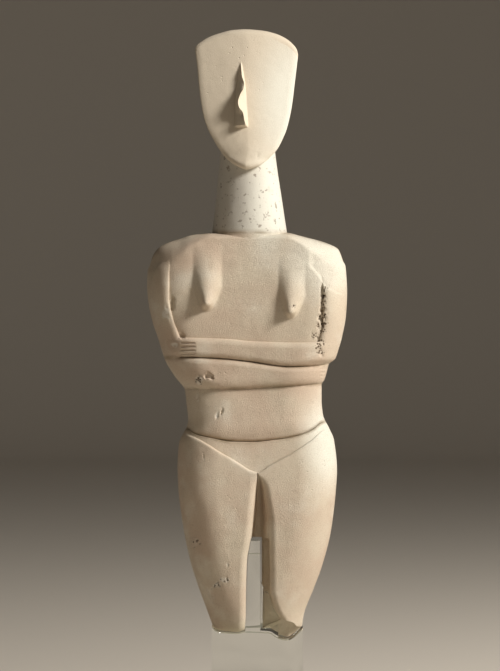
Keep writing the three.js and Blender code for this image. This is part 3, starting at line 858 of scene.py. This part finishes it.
    def front(self, x: Array, h: Array) -> Array:
        """How far the front surface lies in front of the middle plane, in millimetres.

        Below the thighs' upper edge it is a leg's half-thickness, less its drops, times its rounding; in
        the pubic triangle it is the same a little lower; above, it is the torso's, with arms and breasts.
        

        Args:
            x: across, in millimetres.
            h: height, in millimetres.

        Returns:
            The distance, in millimetres.
        """
        outer, drop = self.leg_rounding(x, h, Outline.front_inner_right, self.inner_reach)
        edge = self.edge_drop * (1 - swell(Outline.thigh_edge(x) - h, self.edge_reach))
        leg = (self.thigh_front(h) - edge - drop) * outer
        rounding = self.rounding(x, h)
        triangle = (self.thigh_front(h) - self.triangle_drop) * rounding
        relief = self.arms(x, h) - self.fingers(x, h)
        relief = relief - self.belly_drop * (1 - swell(h - Outline.belly_groove(x), self.belly_reach))
        for breast in self.breasts:
            relief = relief + breast.height(x, h)
        torso = (self.torso_front(h) + relief) * rounding
        above_thighs = np.where(below(Outline.belly_groove, x, h), triangle, torso)
        return np.where(below(Outline.thigh_edge, x, h), leg, above_thighs)

    def back(self, x: Array, h: Array) -> Array:
        """How far the back surface lies behind the middle plane: legs with a fold under the seat, and a
        torso with a shallow groove along the spine.

        Args:
            x: across, in millimetres.
            h: height, in millimetres.

        Returns:
            The distance, in millimetres.
        """
        outer, drop = self.leg_rounding(x, h, Outline.cleft_right_behind, 2 * self.inner_reach)
        fold = self.seat_fold * hump(h - self.seat_height, self.back_swell)
        leg = (self.body_back(h) - drop - fold) * outer
        spine = self.spine_depth * hump(x - self.spine_x, self.back_swell) * ease(160, 175, h)
        torso = (self.body_back(h) - spine) * self.rounding(x, h)
        return np.where(below(Outline.thigh_edge, x, h), leg, torso)

    def cleft_floor(self, x: Array, h: Array, right: Line, deepest: float) -> Array:
        """How far the cleft's floor lies below the surface: a steep left wall and a slanting right one,
        deeper as a square root downwards.

        Args:
            x: across, in millimetres.
            h: height, in millimetres.
            right: the cleft's right edge.
            deepest: its depth at the web's foot.

        Returns:
            The depth, in millimetres.
        """
        left = Outline.cleft_left(h)
        width = np.maximum(right(h) - left, 1e-6)
        share = np.clip((x - left) / width, 0, 1)
        across = ease(0, 0.15, share) * ease(0, 0.5, 1 - share)
        down = np.clip((Outline.cleft_top - h) / (Outline.cleft_top - Outline.web_foot), 0, 1)
        inside = (h < Outline.cleft_top) & (x > left) & (x < right(h))
        return np.where(inside, deepest * across * np.sqrt(down), 0)

    def weather(self, x: Array, h: Array, seed: int) -> Array:
        """The hand-worked, weathered surface's unevenness: broad swells and finer wear, in millimetres."""
        return 0.28 * Grain(seed, 26, 2)(x, h) + 0.07 * Grain(seed + 1, 4.5, 3)(x, h)

    def scars(self, x: Array, h: Array) -> Array:
        """The depth of all the damage on the front, with the flaked patch on the left upper arm.

        Args:
            x: across, in millimetres.
            h: height, in millimetres.

        Returns:
            The depth, in millimetres.
        """
        beside_arm = x - Outline.right_arm_inner(h) + self.groove_offset
        groove = hump(beside_arm, self.groove_width) * ease(247, 241, h) * ease(204, 222, h)
        cut = groove * (0.8 + 0.5 * Grain(Seed.GROOVE, 2.2)(x, h))
        for flaw in FLAWS:
            cut = cut + flaw.cut(x, h)
        edge = Outline.flake_edge(x) + 0.5 * Grain(Seed.FLAKE, 3)(x, h)
        return cut + self.flake_depth * ease(0, 0.9, h - edge) * ease(35, 39, x) * ease(272, 258, h)

    @staticmethod
    def lattice(inner_right: Line, foot: Line) -> Patch:
        """The grid over torso and legs; its lines follow the arms, the grooves, the thighs and the cleft.

        Args:
            inner_right: the right leg's inner edge.
            foot: the stone's lower edge.

        Returns:
            The patch, from the left side to the right and from the knees to the shoulders.
        """
        columns = [
            Key(Outline.left_side),
            Key(Outline.left_arm_inner, 24),
            Key(Outline.cleft_left, 62, True),
            Key(inner_right, 14),
            Key(Outline.right_arm_inner, 56, True),
            Key(Outline.right_side, 22),
        ]
        rows = [
            Key(foot),
            Key(level(Outline.web_foot), 66),
            Key(above(Outline.thigh_edge, -1), 42),
            Key(Outline.thigh_edge, 2),
            Key(Outline.belly_groove, 18, True),
            Key(above(Outline.belly_groove, 1.5), 2),
            Key(Outline.forearm_foot, 32),
            Key(above(Outline.forearm_foot, 1.1), 2),
            Key(above(Outline.forearm_groove, -1.1), 26, True),
            Key(Outline.forearm_groove, 2),
            Key(above(Outline.forearm_groove, 1.1), 2),
            Key(above(Outline.forearm_top, -1.1), 26, True),
            Key(Outline.forearm_top, 2),
            Key(above(Outline.forearm_top, 1.1), 2),
            Key(above(Outline.shoulder_line, -7), 60, True),
            Key(Outline.shoulder_line, 12),
        ]
        return Patch(columns, rows)

    def front_sheet(self, patch: Patch) -> Array:
        """The front's points: its relief less the cleft's floor, with wear and scars that fade at the edges.

        Args:
            patch: the grid.

        Returns:
            (columns, rows, 3) points, in millimetres.
        """
        x, h = patch.x, patch.h
        depth = self.front(x, h) - self.cleft_floor(x, h, Outline.front_inner_right, self.cleft_front)
        fade = np.where(h < Outline.waist, ease(0, 0.4, depth / self.knee_depth), self.rounding(x, h))
        worn = (self.weather(x, h, Seed.FRONT) - self.scars(x, h)) * fade
        return np.stack([x, -np.maximum(depth + worn, 0), h], axis=-1)

    def back_sheet(self, patch: Patch) -> Array:
        """The back's points: its relief less the cleft's floor, with wear that fades at the outline.

        Args:
            patch: the grid.

        Returns:
            (columns, rows, 3) points, in millimetres.
        """
        x, h = patch.x, patch.h
        depth = self.back(x, h) - self.cleft_floor(x, h, Outline.cleft_right_behind, self.cleft_back)
        worn = self.weather(x, h, Seed.BACK) * ease(0, 0.4, depth / self.knee_depth)
        return np.stack([x, np.maximum(depth + worn, 0), h], axis=-1)

    def bridge(self, front: Array, back: Array) -> Array:
        """Points that join a line of the front sheet to its twin on the back sheet.

        A point at share s of the way back has its depth blended evenly and its outline blended in one step
        round the middle. Near the knees, grain wears it away, because the stone is broken there.

        Args:
            front: (n, 3) points of the front sheet.
            back: (n, 3) points of the back sheet.

        Returns:
            (n, wall cells + 1, 3) points.
        """
        share = np.linspace(0, 1, self.wall_cells + 1)
        step = ease(0.34, 0.5, share)
        across = np.stack([step, share, step], axis=1)
        points = mix(front[:, None], back[:, None], across[None])
        x, y, h = np.moveaxis(points, -1, 0)
        inside = np.sqrt(np.sin(np.pi * share)) * ease(14, 5, h - Outline.stone_foot(x))
        rough_depth = 0.6 * Grain(Seed.BREAK_DEPTH, 4)(x, h)
        rough_height = np.clip(0.5 + 0.5 * Grain(Seed.BREAK_HEIGHT, 4)(x, y), 0, None)
        points[..., 1] += inside * self.break_relief * rough_depth
        points[..., 2] += inside * self.break_relief * rough_height
        return points

    def body(self) -> Skin:
        """Torso and legs: a front and a back sheet sewn along the outlines, open at the cleft and knees.

        Returns:
            The closed skin, with walls that line the cleft below its web and a broken face on each knee.
        """
        ahead = self.lattice(Outline.front_inner_right, Outline.front_foot)
        front = self.front_sheet(ahead)
        back = self.back_sheet(self.lattice(Outline.cleft_right_behind, Outline.stone_foot))
        left, right = ahead.column_marks[2], ahead.column_marks[3]
        web = ahead.row_marks[1]
        solid = np.ones((front.shape[0] - 1, front.shape[1] - 1), bool)
        solid[left:right, :web] = False
        skin = Skin()
        skin.grid(front, keep=solid)
        skin.coarse_grid(back, flip=True, keep=solid)
        left_knee, right_knee = np.s_[: left + 1, 0], np.s_[right:, 0]
        crotch, left_wall = np.s_[left : right + 1, web], np.s_[left, : web + 1]
        for edge in (left_knee, right_knee, crotch, left_wall):
            skin.grid(self.bridge(front[edge], back[edge]), flip=True)
        right_wall = np.s_[right, : web + 1]
        skin.grid(self.bridge(front[right_wall], back[right_wall]))
        return skin

    # -- the head and neck

    def head(self) -> Skin:
        """The head: a shield. Its face is a plane that leans back, bowed as the 1.5th power of the way out
        and rounded over at the rim; its back swells from the rim in quarter rounds, thinner at the crown.

        Returns:
            The closed skin.
        """
        patch = Patch(
            [
                Key(Outline.head_left),
                Key(self.nose.left_foot, 32),
                Key(self.nose.crest, 12),
                Key(self.nose.right_foot, 8),
                Key(Outline.head_right, 34),
            ],
            [
                Key(Outline.chin),
                Key(level(self.nose.tip - self.nose.underside), 32),
                Key(level(self.nose.tip), 2),
                Key(Outline.crown, 84),
            ],
        )
        x, h = patch.x, patch.h
        left, right = Outline.head_left(h), Outline.head_right(h)

        def inside(side: float, top: float) -> Array:
            """The product of the quarter rounds in from the four outlines."""
            foot, crown = swell(h - Outline.chin(x), side), swell(Outline.crown(x) - h, top)
            return swell(x - left, side) * swell(right - x, side) * foot * crown

        face = self.chin_front - self.face_lean * (h - Outline.chin_low)
        rim = self.head_rim - face
        rounded = inside(4.0, 4.0)
        bow = self.face_bow * np.abs((2 * x - left - right) / (right - left)) ** 1.5
        proud = self.nose.height(x, h) + 0.7 * self.weather(x, h, Seed.FACE)
        for flaw in FLAWS:
            proud = proud - flaw.cut(x, h)
        front = rim - (self.head_rim - bow) * rounded - proud * rounded
        back = mix(rim, self.head_back + 0.7 * self.weather(x, h, Seed.NAPE), inside(24.0, 9.0))
        skin = Skin()
        skin.grid(np.stack([x, front, h], axis=-1))
        skin.coarse_grid(np.stack([x, back, h], axis=-1), flip=True)
        return skin

    def neck(self) -> Skin:
        """The neck: ellipses stacked from inside the shoulders to inside the head, closed at both ends.

        Returns:
            The closed skin.
        """
        foot, top = Outline.neck_foot, Outline.neck_top
        turn = np.linspace(0, 2 * np.pi, self.neck_sides + 1)
        height = np.concatenate([[foot], np.linspace(foot, top, self.neck_rings), [top]])
        radius = np.concatenate([[0.0], np.ones(self.neck_rings), [0.0]])
        turn, height = np.meshgrid(turn, height, indexing="ij")
        left, right = Outline.neck_left(height), Outline.neck_right(height)
        around = self.neck_girth * np.cos(turn)
        worn = 1 + self.neck_wear * Grain(Seed.NECK, 15)(around, height) * np.abs(np.sin(turn / 2))
        x = (left + right) / 2 + (right - left) / 2 * radius * worn * np.cos(turn)
        middle = mix(0.5, 1.2, (height - foot) / (top - foot))
        y = middle + self.neck_half_depth(height) * radius * worn * np.sin(turn)
        skin = Skin()
        skin.grid(np.stack([x, y, height], axis=-1))
        return skin

    # -- the finished piece

    def build(self) -> bpy.types.Object:
        """Joins head, neck and body into one closed marble piece.

        Returns:
            The piece, dressed by no material yet.
        """
        piece = linked("figurine_marble", self.body().mesh("figurine_marble", self.lift))
        for name, skin in (("neck", self.neck()), ("head", self.head())):
            other = linked(name, skin.mesh(name, self.lift))
            union = piece.modifiers.new(name, "BOOLEAN")
            union.operation, union.solver, union.object = "UNION", "EXACT", other
            apply_modifiers(piece)
            bpy.data.objects.remove(other)
        piece.data.shade_smooth()
        piece.data.set_sharp_from_angle(angle=math.radians(60))
        self.mark(piece)
        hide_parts(self.node)
        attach(piece, "root")
        return piece

    def tones(self, x: Array, y: Array, h: Array) -> dict[str, Array]:
        """The stone's stains and bruises, its painted light and its painted shade in the grooves, for its
        finish to read.

        Args:
            x: across, in millimetres.
            y: depth, in millimetres, negative in front.
            h: height, in millimetres.

        Returns:
            bruise, 1 where the stone is crushed white; pitted, 1 where it is full of pits; painted light, 1
            where paler colour is painted for the key light; groove dirt and shade, 1 along the carved lines,
            where dirt and painted shade go; neck and face, 1 on those two parts; and rough, how coarse the
            stone's grain is, least on the face and neck.
        """
        ahead = y < 0
        grooves = (
            (Outline.forearm_groove, 4.8),
            (Outline.forearm_foot, 4.4),
            (Outline.belly_groove, 5.2),
            (Outline.shoulder_line, 4.0),
        )
        # Dirt and painted shade: a band along each carved groove and the shoulder line.
        groove_dirt_and_shade = [hump(h - line(x), width) for line, width in grooves]
        bruise = [flaw.white * flaw.share(x, h) for flaw in FLAWS]
        pitted = [flaw.share(x, h) for flaw in FLAWS if flaw.kind is Mark.PITS]
        # Painted light: paler patches where the key light falls.
        painted_light = [patch.share(x, h) for patch in PAINTED_LIGHT_PATCHES]
        rim = self.head_rim - self.chin_front + self.face_lean * (h - Outline.chin_low)
        head = np.where(h > Outline.neck_top + 1, 1.0, ease(3, 0, y - rim) * (h > Outline.chin_low - 1))
        neck = ease(279, 282, h) * (1 - head)
        return {
            "bruise": np.maximum.reduce(bruise) * ahead,
            "pitted": np.maximum.reduce(pitted) * ahead,
            "painted_light": np.maximum.reduce(painted_light) * ahead,
            "groove_dirt_and_shade": np.maximum.reduce(groove_dirt_and_shade) * ahead,
            "neck": neck,
            "face": head,
            "rough": 1 - 0.65 * np.maximum(neck, head),
        }

    def mark(self, piece: bpy.types.Object) -> None:
        """Writes the stone's tones to the mesh, as attributes.

        Args:
            piece: the figurine.
        """
        co = np.empty(len(piece.data.vertices) * 3, np.float32)
        piece.data.vertices.foreach_get("co", co)
        x, y, h = ((co.reshape(-1, 3) - np.array(self.lift)) / MM).T
        for name, value in self.tones(x, y, h).items():
            attribute = piece.data.attributes.new(name, "FLOAT", "POINT")
            attribute.data.foreach_set("value", value.astype(np.float32))


# ---------------------------------------------------------------- the mount


@dataclass
class Mount:
    """The clear mount: the block with its cradle and tongue, and the low foot, with polished arrises."""

    arris: float = 0.6
    segments: int = 3

    def build(self) -> list[bpy.types.Object]:
        """Copies each clear solid, merges it and rounds its arrises.

        Returns:
            The finished pieces.
        """
        return [self.polished(node) for node in ("mount_block", "mount_foot")]

    def polished(self, node: str) -> bpy.types.Object:
        """One clear solid with its arrises rounded by a few narrow bands.

        Args:
            node: the solid's name.

        Returns:
            The piece that stands for it.
        """
        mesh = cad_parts[node].data.copy()
        piece = linked(f"{node}_clear", mesh)
        weld = piece.modifiers.new("weld", "WELD")
        weld.merge_threshold = 0.01 * MM
        flat = piece.modifiers.new("flat", "DECIMATE")
        flat.decimate_type, flat.angle_limit = "DISSOLVE", math.radians(1)
        bevel = piece.modifiers.new("arris", "BEVEL")
        bevel.width, bevel.segments = self.arris * MM, self.segments
        bevel.limit_method, bevel.angle_limit = "ANGLE", math.radians(35)
        bevel.use_clamp_overlap = True
        apply_modifiers(piece)
        piece.data.materials.clear()
        piece.data.shade_smooth()
        piece.data.set_sharp_from_angle(angle=math.radians(32))
        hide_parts(node)
        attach(piece, "root")
        return piece


# ---------------------------------------------------------------- finishes


class NodeSheet:
    """A material's node tree, with short calls for the nodes that the finishes use."""

    def __init__(self, name: str) -> None:
        """Makes the material, with its shader.

        Args:
            name: the material's name.
        """
        self.material = bpy.data.materials.new(name)
        self.material.use_nodes = True
        self.tree = self.material.node_tree
        self.shader = self.tree.nodes["Principled BSDF"]
        self.place = self.node("ShaderNodeTexCoord").outputs["Object"]

    def node(self, kind: str, **settings: object) -> bpy.types.Node:
        """A new node of that kind, with its properties set.

        Args:
            kind: the node's type.
            settings: its properties.

        Returns:
            The node.
        """
        made = self.tree.nodes.new(kind)
        for name, value in settings.items():
            setattr(made, name, value)
        return made

    def feed(self, socket: Socket, value: object) -> None:
        """Links a socket to another, or sets it to a plain value.

        Args:
            socket: the input.
            value: an output socket, or a plain value.
        """
        if isinstance(value, Socket):
            self.tree.links.new(value, socket)
        else:
            socket.default_value = value

    def noise(self, scale: float, detail: float = 4.0, roughness: float = 0.5) -> Socket:
        """Smooth noise on object coordinates, about 0.5, with that many cells to the metre.

        Args:
            scale: cells to the metre.
            detail: how many finer layers it has.
            roughness: how strong they are.

        Returns:
            The noise.
        """
        made = self.node("ShaderNodeTexNoise")
        self.feed(made.inputs["Vector"], self.place)
        for name, value in (("Scale", scale), ("Detail", detail), ("Roughness", roughness)):
            made.inputs[name].default_value = value
        return made.outputs["Fac"]

    def cells(self, scale: float, feature: str = "F1") -> Socket:
        """Distances to scattered points on object coordinates, with that many points to the metre.

        Args:
            scale: points to the metre.
            feature: which distance is measured.

        Returns:
            The distance.
        """
        made = self.node("ShaderNodeTexVoronoi", feature=feature)
        self.feed(made.inputs["Vector"], self.place)
        made.inputs["Scale"].default_value = scale
        return made.outputs["Distance"]

    def attribute(self, name: str) -> Socket:
        """A value that the piece's mesh carries."""
        return self.node("ShaderNodeAttribute", attribute_name=name).outputs["Fac"]

    def band(self, value: Socket, low: float, high: float, top: float = 1.0) -> Socket:
        """0 up to low, rising smoothly to top at high.

        Args:
            value: the value.
            low: where the rise starts.
            high: where it ends.
            top: what it rises to.

        Returns:
            The risen value.
        """
        made = self.node("ShaderNodeMapRange", interpolation_type="SMOOTHSTEP")
        self.feed(made.inputs["Value"], value)
        for name, number in (("From Min", low), ("From Max", high), ("To Min", 0.0), ("To Max", top)):
            made.inputs[name].default_value = number
        return made.outputs["Result"]

    def spread(self, value: Socket, low: float, high: float) -> Socket:
        """A value of 0 to 1 spread evenly from low to high.

        Args:
            value: the value.
            low: what 0 becomes.
            high: what 1 becomes.

        Returns:
            The spread value.
        """
        made = self.node("ShaderNodeMapRange")
        self.feed(made.inputs["Value"], value)
        made.inputs["To Min"].default_value = low
        made.inputs["To Max"].default_value = high
        return made.outputs["Result"]

    def maths(self, operation: str, first: object, second: object) -> Socket:
        """One sum of two values.

        Args:
            operation: the sum's name.
            first: a socket or a number.
            second: a socket or a number.

        Returns:
            The result.
        """
        made = self.node("ShaderNodeMath", operation=operation)
        self.feed(made.inputs[0], first)
        self.feed(made.inputs[1], second)
        return made.outputs["Value"]

    def blend(self, share: object, first: object, second: object, mode: str = "MIX") -> Socket:
        """Two colours blended by a share.

        Args:
            share: how much of the second.
            first: a socket or a colour.
            second: a socket or a colour.
            mode: how they are blended.

        Returns:
            The colour.
        """
        made = self.node("ShaderNodeMix", data_type="RGBA", blend_type=mode)
        self.feed(made.inputs[0], share)
        self.feed(made.inputs[6], first)
        self.feed(made.inputs[7], second)
        return made.outputs[2]

    def bump(self, height: Socket, distance: float, under: Socket | None = None) -> Socket:
        """A bump of that height in metres, over another one where it is given.

        Args:
            height: the relief, 0 to 1.
            distance: how high 1 is, in metres.
            under: the normal that it lies over.

        Returns:
            The normal.
        """
        made = self.node("ShaderNodeBump")
        made.inputs["Strength"].default_value = 1.0
        made.inputs["Distance"].default_value = distance
        self.feed(made.inputs["Height"], height)
        if under is not None:
            self.feed(made.inputs["Normal"], under)
        return made.outputs["Normal"]


def srgb(red: int, green: int, blue: int) -> Colour:
    """A screen colour of 0 to 255 as the linear colour that a shader takes.

    Args:
        red: 0 to 255.
        green: 0 to 255.
        blue: 0 to 255.

    Returns:
        The linear colour, opaque.
    """
    share = np.array([red, green, blue]) / 255
    linear = np.where(share <= 0.04045, share / 12.92, ((share + 0.055) / 1.055) ** 2.4)
    return (*map(float, linear), 1.0)


@dataclass(frozen=True)
class Marble:
    """Old island marble: a warm crystalline stone with paler face, greyer neck, stains and bruises,
    with painted light on its lit side, painted shade along its grooves and painted glints on its crystals.
    """

    body: Colour = srgb(218, 204, 182)
    warm: Colour = srgb(208, 186, 164)
    pale: Colour = srgb(230, 221, 204)
    face: Colour = srgb(220, 206, 184)
    # Painted light: the paler colour laid where the key light falls.
    neck: Colour = srgb(208, 202, 190)
    painted_light_colour: Colour = srgb(238, 236, 222)
    spot: Colour = srgb(112, 94, 74)
    dust: Colour = srgb(142, 124, 96)
    grit: Colour = srgb(158, 136, 112)
    crushed: Colour = srgb(240, 235, 224)

    clouds: float = 24
    veils: float = 38
    neck_spots: float = 330
    grit_grains: float = 1500
    crystal_grains_and_glints: float = 1200
    smears: float = 70
    groove_dirt_and_shade_breaks: float = 90
    bruise_grains: float = 520
    specks: float = 560
    sheen: float = 60
    grain: float = 1700
    grain_height: float = 0.0005
    pits: float = 260
    pit_patches: float = 34
    pit_depth: float = 0.0004

    def build(self) -> bpy.types.Material:
        """Makes the marble: its tones, its stains and its relief.

        Returns:
            The material.
        """
        sheet = NodeSheet("old_marble")
        scattered = sheet.band(sheet.cells(self.specks), 0.5, 0.3)
        specks = sheet.maths("MULTIPLY", scattered, sheet.attribute("pitted"))
        colour = self.stains(sheet, self.tones(sheet))
        sheet.feed(sheet.shader.inputs["Base Color"], sheet.blend(specks, colour, self.spot))
        sheet.feed(sheet.shader.inputs["Roughness"], sheet.spread(sheet.noise(self.sheen), 0.45, 0.75))
        sheet.feed(sheet.shader.inputs["Normal"], self.relief(sheet, specks))
        sheet.shader.inputs["Specular IOR Level"].default_value = 0.35
        return sheet.material

    def tones(self, sheet: NodeSheet) -> Socket:
        """The clean stone's colour: warm clouds and pale veils, then the face and neck, then paler
        painted light where the key light falls.

        Args:
            sheet: the marble's node tree.

        Returns:
            The colour.
        """
        colour = sheet.blend(sheet.band(sheet.noise(self.clouds, 5), 0.36, 0.7), self.body, self.warm)
        veils = sheet.band(sheet.noise(self.veils, 6, 0.6), 0.5, 0.74, 0.65)
        colour = sheet.blend(veils, colour, self.pale)
        colour = sheet.blend(sheet.attribute("face"), colour, self.face)
        colour = sheet.blend(sheet.attribute("neck"), colour, self.neck)
        # Painted light: paler colour on the patches where the key light falls.
        return sheet.blend(sheet.attribute("painted_light"), colour, self.painted_light_colour)

    def stains(self, sheet: NodeSheet, colour: Socket) -> Socket:
        """The clean stone with spots on its neck, grit, pale crystal grains with painted glints, smears,
        dirt and painted shade along the grooves, and bruises.

        Args:
            sheet: the marble's node tree.
            colour: the clean stone's colour.

        Returns:
            The stained colour.
        """
        spots = sheet.band(sheet.noise(self.neck_spots, 3), 0.6, 0.7, 0.6)
        grit = sheet.band(sheet.noise(self.grit_grains, 3, 0.75), 0.5, 0.74, 0.5)
        # Pale crystal grains: partly their own paler colour, partly painted glint.
        crystal_grains_and_glints = sheet.band(sheet.cells(self.crystal_grains_and_glints), 0.3, 0.06, 0.3)
        smears = sheet.band(sheet.noise(self.smears, 5, 0.65), 0.6, 0.8, 0.3)
        # Dust colour along the carved grooves: dirt, and painted shade where the grooves fall into shadow.
        groove_dirt_and_shade = sheet.band(sheet.noise(self.groove_dirt_and_shade_breaks), 0.25, 0.65, 0.7)
        bruises = sheet.band(sheet.noise(self.bruise_grains, 3), 0.32, 0.52)
        layers = (
            (sheet.maths("MULTIPLY", spots, sheet.attribute("neck")), self.spot),
            (sheet.maths("MULTIPLY", grit, sheet.attribute("rough")), self.grit),
            (crystal_grains_and_glints, self.crushed),
            (smears, self.dust),
            (sheet.maths("MULTIPLY", groove_dirt_and_shade, sheet.attribute("groove_dirt_and_shade")), self.dust),
            (sheet.maths("MULTIPLY", bruises, sheet.attribute("bruise")), self.crushed),
        )
        for share, stain in layers:
            colour = sheet.blend(share, colour, stain)
        return colour

    def relief(self, sheet: NodeSheet, specks: Socket) -> Socket:
        """The stone's fine grain, with small pits in worn patches and in the specks over it.

        Args:
            sheet: the marble's node tree.
            specks: 1 in the dark specks of the pitted parts.

        Returns:
            The normal.
        """
        grain = sheet.maths("MULTIPLY", sheet.noise(self.grain, 3, 0.7), sheet.attribute("rough"))
        pits = sheet.band(sheet.cells(self.pits), 0.17, 0.05)
        patches = sheet.band(sheet.noise(self.pit_patches, 2), 0.5, 0.68)
        holes = sheet.maths("ADD", sheet.maths("MULTIPLY", pits, patches), specks)
        sunk = sheet.maths("SUBTRACT", 0.0, holes)
        return sheet.bump(sunk, self.pit_depth, sheet.bump(grain, self.grain_height))


@dataclass(frozen=True)
class ClearAcrylic:
    """Polished clear acrylic, faintly warm, with a breath of fine scratches."""

    tint: Colour = (0.96, 0.97, 0.95, 1.0)
    refraction: float = 1.49
    rubbing_marks: float = 55
    roughest: float = 0.06

    def build(self) -> bpy.types.Material:
        """Makes the clear sheet; only its roughness varies, with faint rubbing marks.

        Rays from lamps and rays that matt surfaces scatter pass straight through it.

        Returns:
            The material.
        """
        sheet = NodeSheet("clear_acrylic")
        sheet.shader.inputs["Base Color"].default_value = self.tint
        sheet.shader.inputs["Transmission Weight"].default_value = 1.0
        sheet.shader.inputs["IOR"].default_value = self.refraction
        rubbing = sheet.noise(self.rubbing_marks, 5, 0.6)
        sheet.feed(sheet.shader.inputs["Roughness"], sheet.spread(rubbing, 0.0, self.roughest))
        clear = sheet.node("ShaderNodeBsdfTransparent")
        clear.inputs["Color"].default_value = self.tint
        through = sheet.node("ShaderNodeMixShader")
        path = sheet.node("ShaderNodeLightPath").outputs
        straight = sheet.maths("MAXIMUM", path["Is Shadow Ray"], path["Is Diffuse Ray"])
        sheet.feed(through.inputs["Fac"], straight)
        sheet.feed(through.inputs[1], sheet.shader.outputs["BSDF"])
        sheet.feed(through.inputs[2], clear.outputs["BSDF"])
        sheet.feed(sheet.tree.nodes["Material Output"].inputs["Surface"], through.outputs["Shader"])
        return sheet.material


# ---------------------------------------------------------------- floor, light and camera


@dataclass(frozen=True)
class Lamp:
    """A square area lamp: where it hangs, its side, both in metres, its watts and its linear colour."""

    name: str
    place: tuple[float, float, float]
    size: float
    power: float
    colour: tuple[float, float, float]
    aim: tuple[float, float, float] = (0, 0, 0.27)

    def hang(self) -> None:
        """Makes the lamp and turns it to the figurine's chest."""
        data = bpy.data.lights.new(self.name, "AREA")
        data.size, data.energy, data.color = self.size, self.power, self.colour
        lamp = bpy.data.objects.new(self.name, data)
        lamp.location = self.place
        towards = Vector(self.aim) - Vector(self.place)
        lamp.rotation_euler = towards.to_track_quat("-Z", "Y").to_euler()
        bpy.context.scene.collection.objects.link(lamp)


@dataclass(frozen=True)
class Studio:
    """A plain pale sweep, a soft key light from the upper right, and a long lens at mid-figure."""

    distance: float = 2.2
    view_height: float = 0.4657
    view_x: float = -0.0049
    view_z: float = 0.2092
    sensor: float = 36.0
    floor_gap: float = 0.2
    floor_radius: float = 4500.0
    bend_radius: float = 1500.0
    wall_top: float = 5000.0
    bend_steps: int = 24
    sides: int = 96
    paper: Colour = srgb(214, 205, 192)
    surround: Colour = (1.0, 0.98, 0.95, 1.0)
    surround_strength: float = 0.07
    key: Lamp = Lamp("key", (1.5, -0.76, 1.34), 0.45, 54.0, (1.0, 0.97, 0.92))
    fill: Lamp = Lamp("fill", (-1.5, -1.6, 0.6), 1.2, 0.15, (0.95, 0.97, 1.0))

    def build(self, stone_foot: float) -> None:
        """Makes the sweep, the lights and the camera.

        Args:
            stone_foot: the height of the stone's lowest point above the floor, in metres.
        """
        self.sweep()
        self.lights()
        self.camera(stone_foot)
        bpy.context.scene.view_settings.view_transform = "Standard"

    def sweep(self) -> None:
        """The floor, curving up all round into a wall: a profile turned about the upright axis.

        The profile is level, then a quarter circle, then upright.
        """
        bend = np.linspace(0, np.pi / 2, self.bend_steps + 1)
        wall_radius = self.floor_radius + self.bend_radius
        out = np.concatenate([[0.0], self.floor_radius + self.bend_radius * np.sin(bend), [wall_radius]])
        up = np.concatenate([[0.0], self.bend_radius * (1 - np.cos(bend)), [self.wall_top]])
        up = up - self.floor_gap
        turn = np.linspace(0, 2 * np.pi, self.sides + 1)[:, None]
        height = np.broadcast_to(up, (self.sides + 1, len(up)))
        skin = Skin()
        skin.grid(np.stack([out * np.cos(turn), out * np.sin(turn), height], axis=-1), flip=True)
        mesh = skin.mesh("sweep", Vector())
        mesh.shade_smooth()
        finish = NodeSheet("pale_paper")
        finish.shader.inputs["Roughness"].default_value = 0.9
        finish.feed(finish.shader.inputs["Base Color"], self.paper)
        mesh.materials.append(finish.material)
        linked("sweep", mesh)

    def lights(self) -> None:
        """A key from the upper right, a weak fill from the left, and an even pale surround."""
        world = bpy.data.worlds.new("surround")
        world.use_nodes = True
        background = world.node_tree.nodes["Background"]
        background.inputs["Color"].default_value = self.surround
        background.inputs["Strength"].default_value = self.surround_strength
        bpy.context.scene.world = world
        self.key.hang()
        self.fill.hang()

    def camera(self, stone_foot: float) -> None:
        """A level camera whose frame is the view's height at the figurine's middle plane.

        Args:
            stone_foot: the height of the stone's lowest point above the floor, in metres.
        """
        data = bpy.data.cameras.new("camera")
        data.sensor_width = self.sensor
        data.lens = self.sensor * self.distance / self.view_height
        camera = bpy.data.objects.new("camera", data)
        camera.location = (self.view_x, -self.distance, stone_foot + self.view_z)
        camera.rotation_euler = (math.pi / 2, 0, 0)
        bpy.context.scene.collection.objects.link(camera)
        bpy.context.scene.camera = camera


# ---------------------------------------------------------------- everything in order


def main() -> None:
    """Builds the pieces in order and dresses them."""
    figurine = Figurine()
    stone = figurine.build()
    stone.data.materials.clear()
    stone.data.materials.append(Marble().build())
    LOG.info("%s: %d faces", stone.name, len(stone.data.polygons))
    acrylic = ClearAcrylic().build()
    for piece in Mount().build():
        piece.data.materials.append(acrylic)
        LOG.info("%s: %d faces", piece.name, len(piece.data.polygons))
    Studio().build(figurine.lift.z)


if __name__ == "__main__":
    logging.basicConfig(level=logging.INFO)
    main()
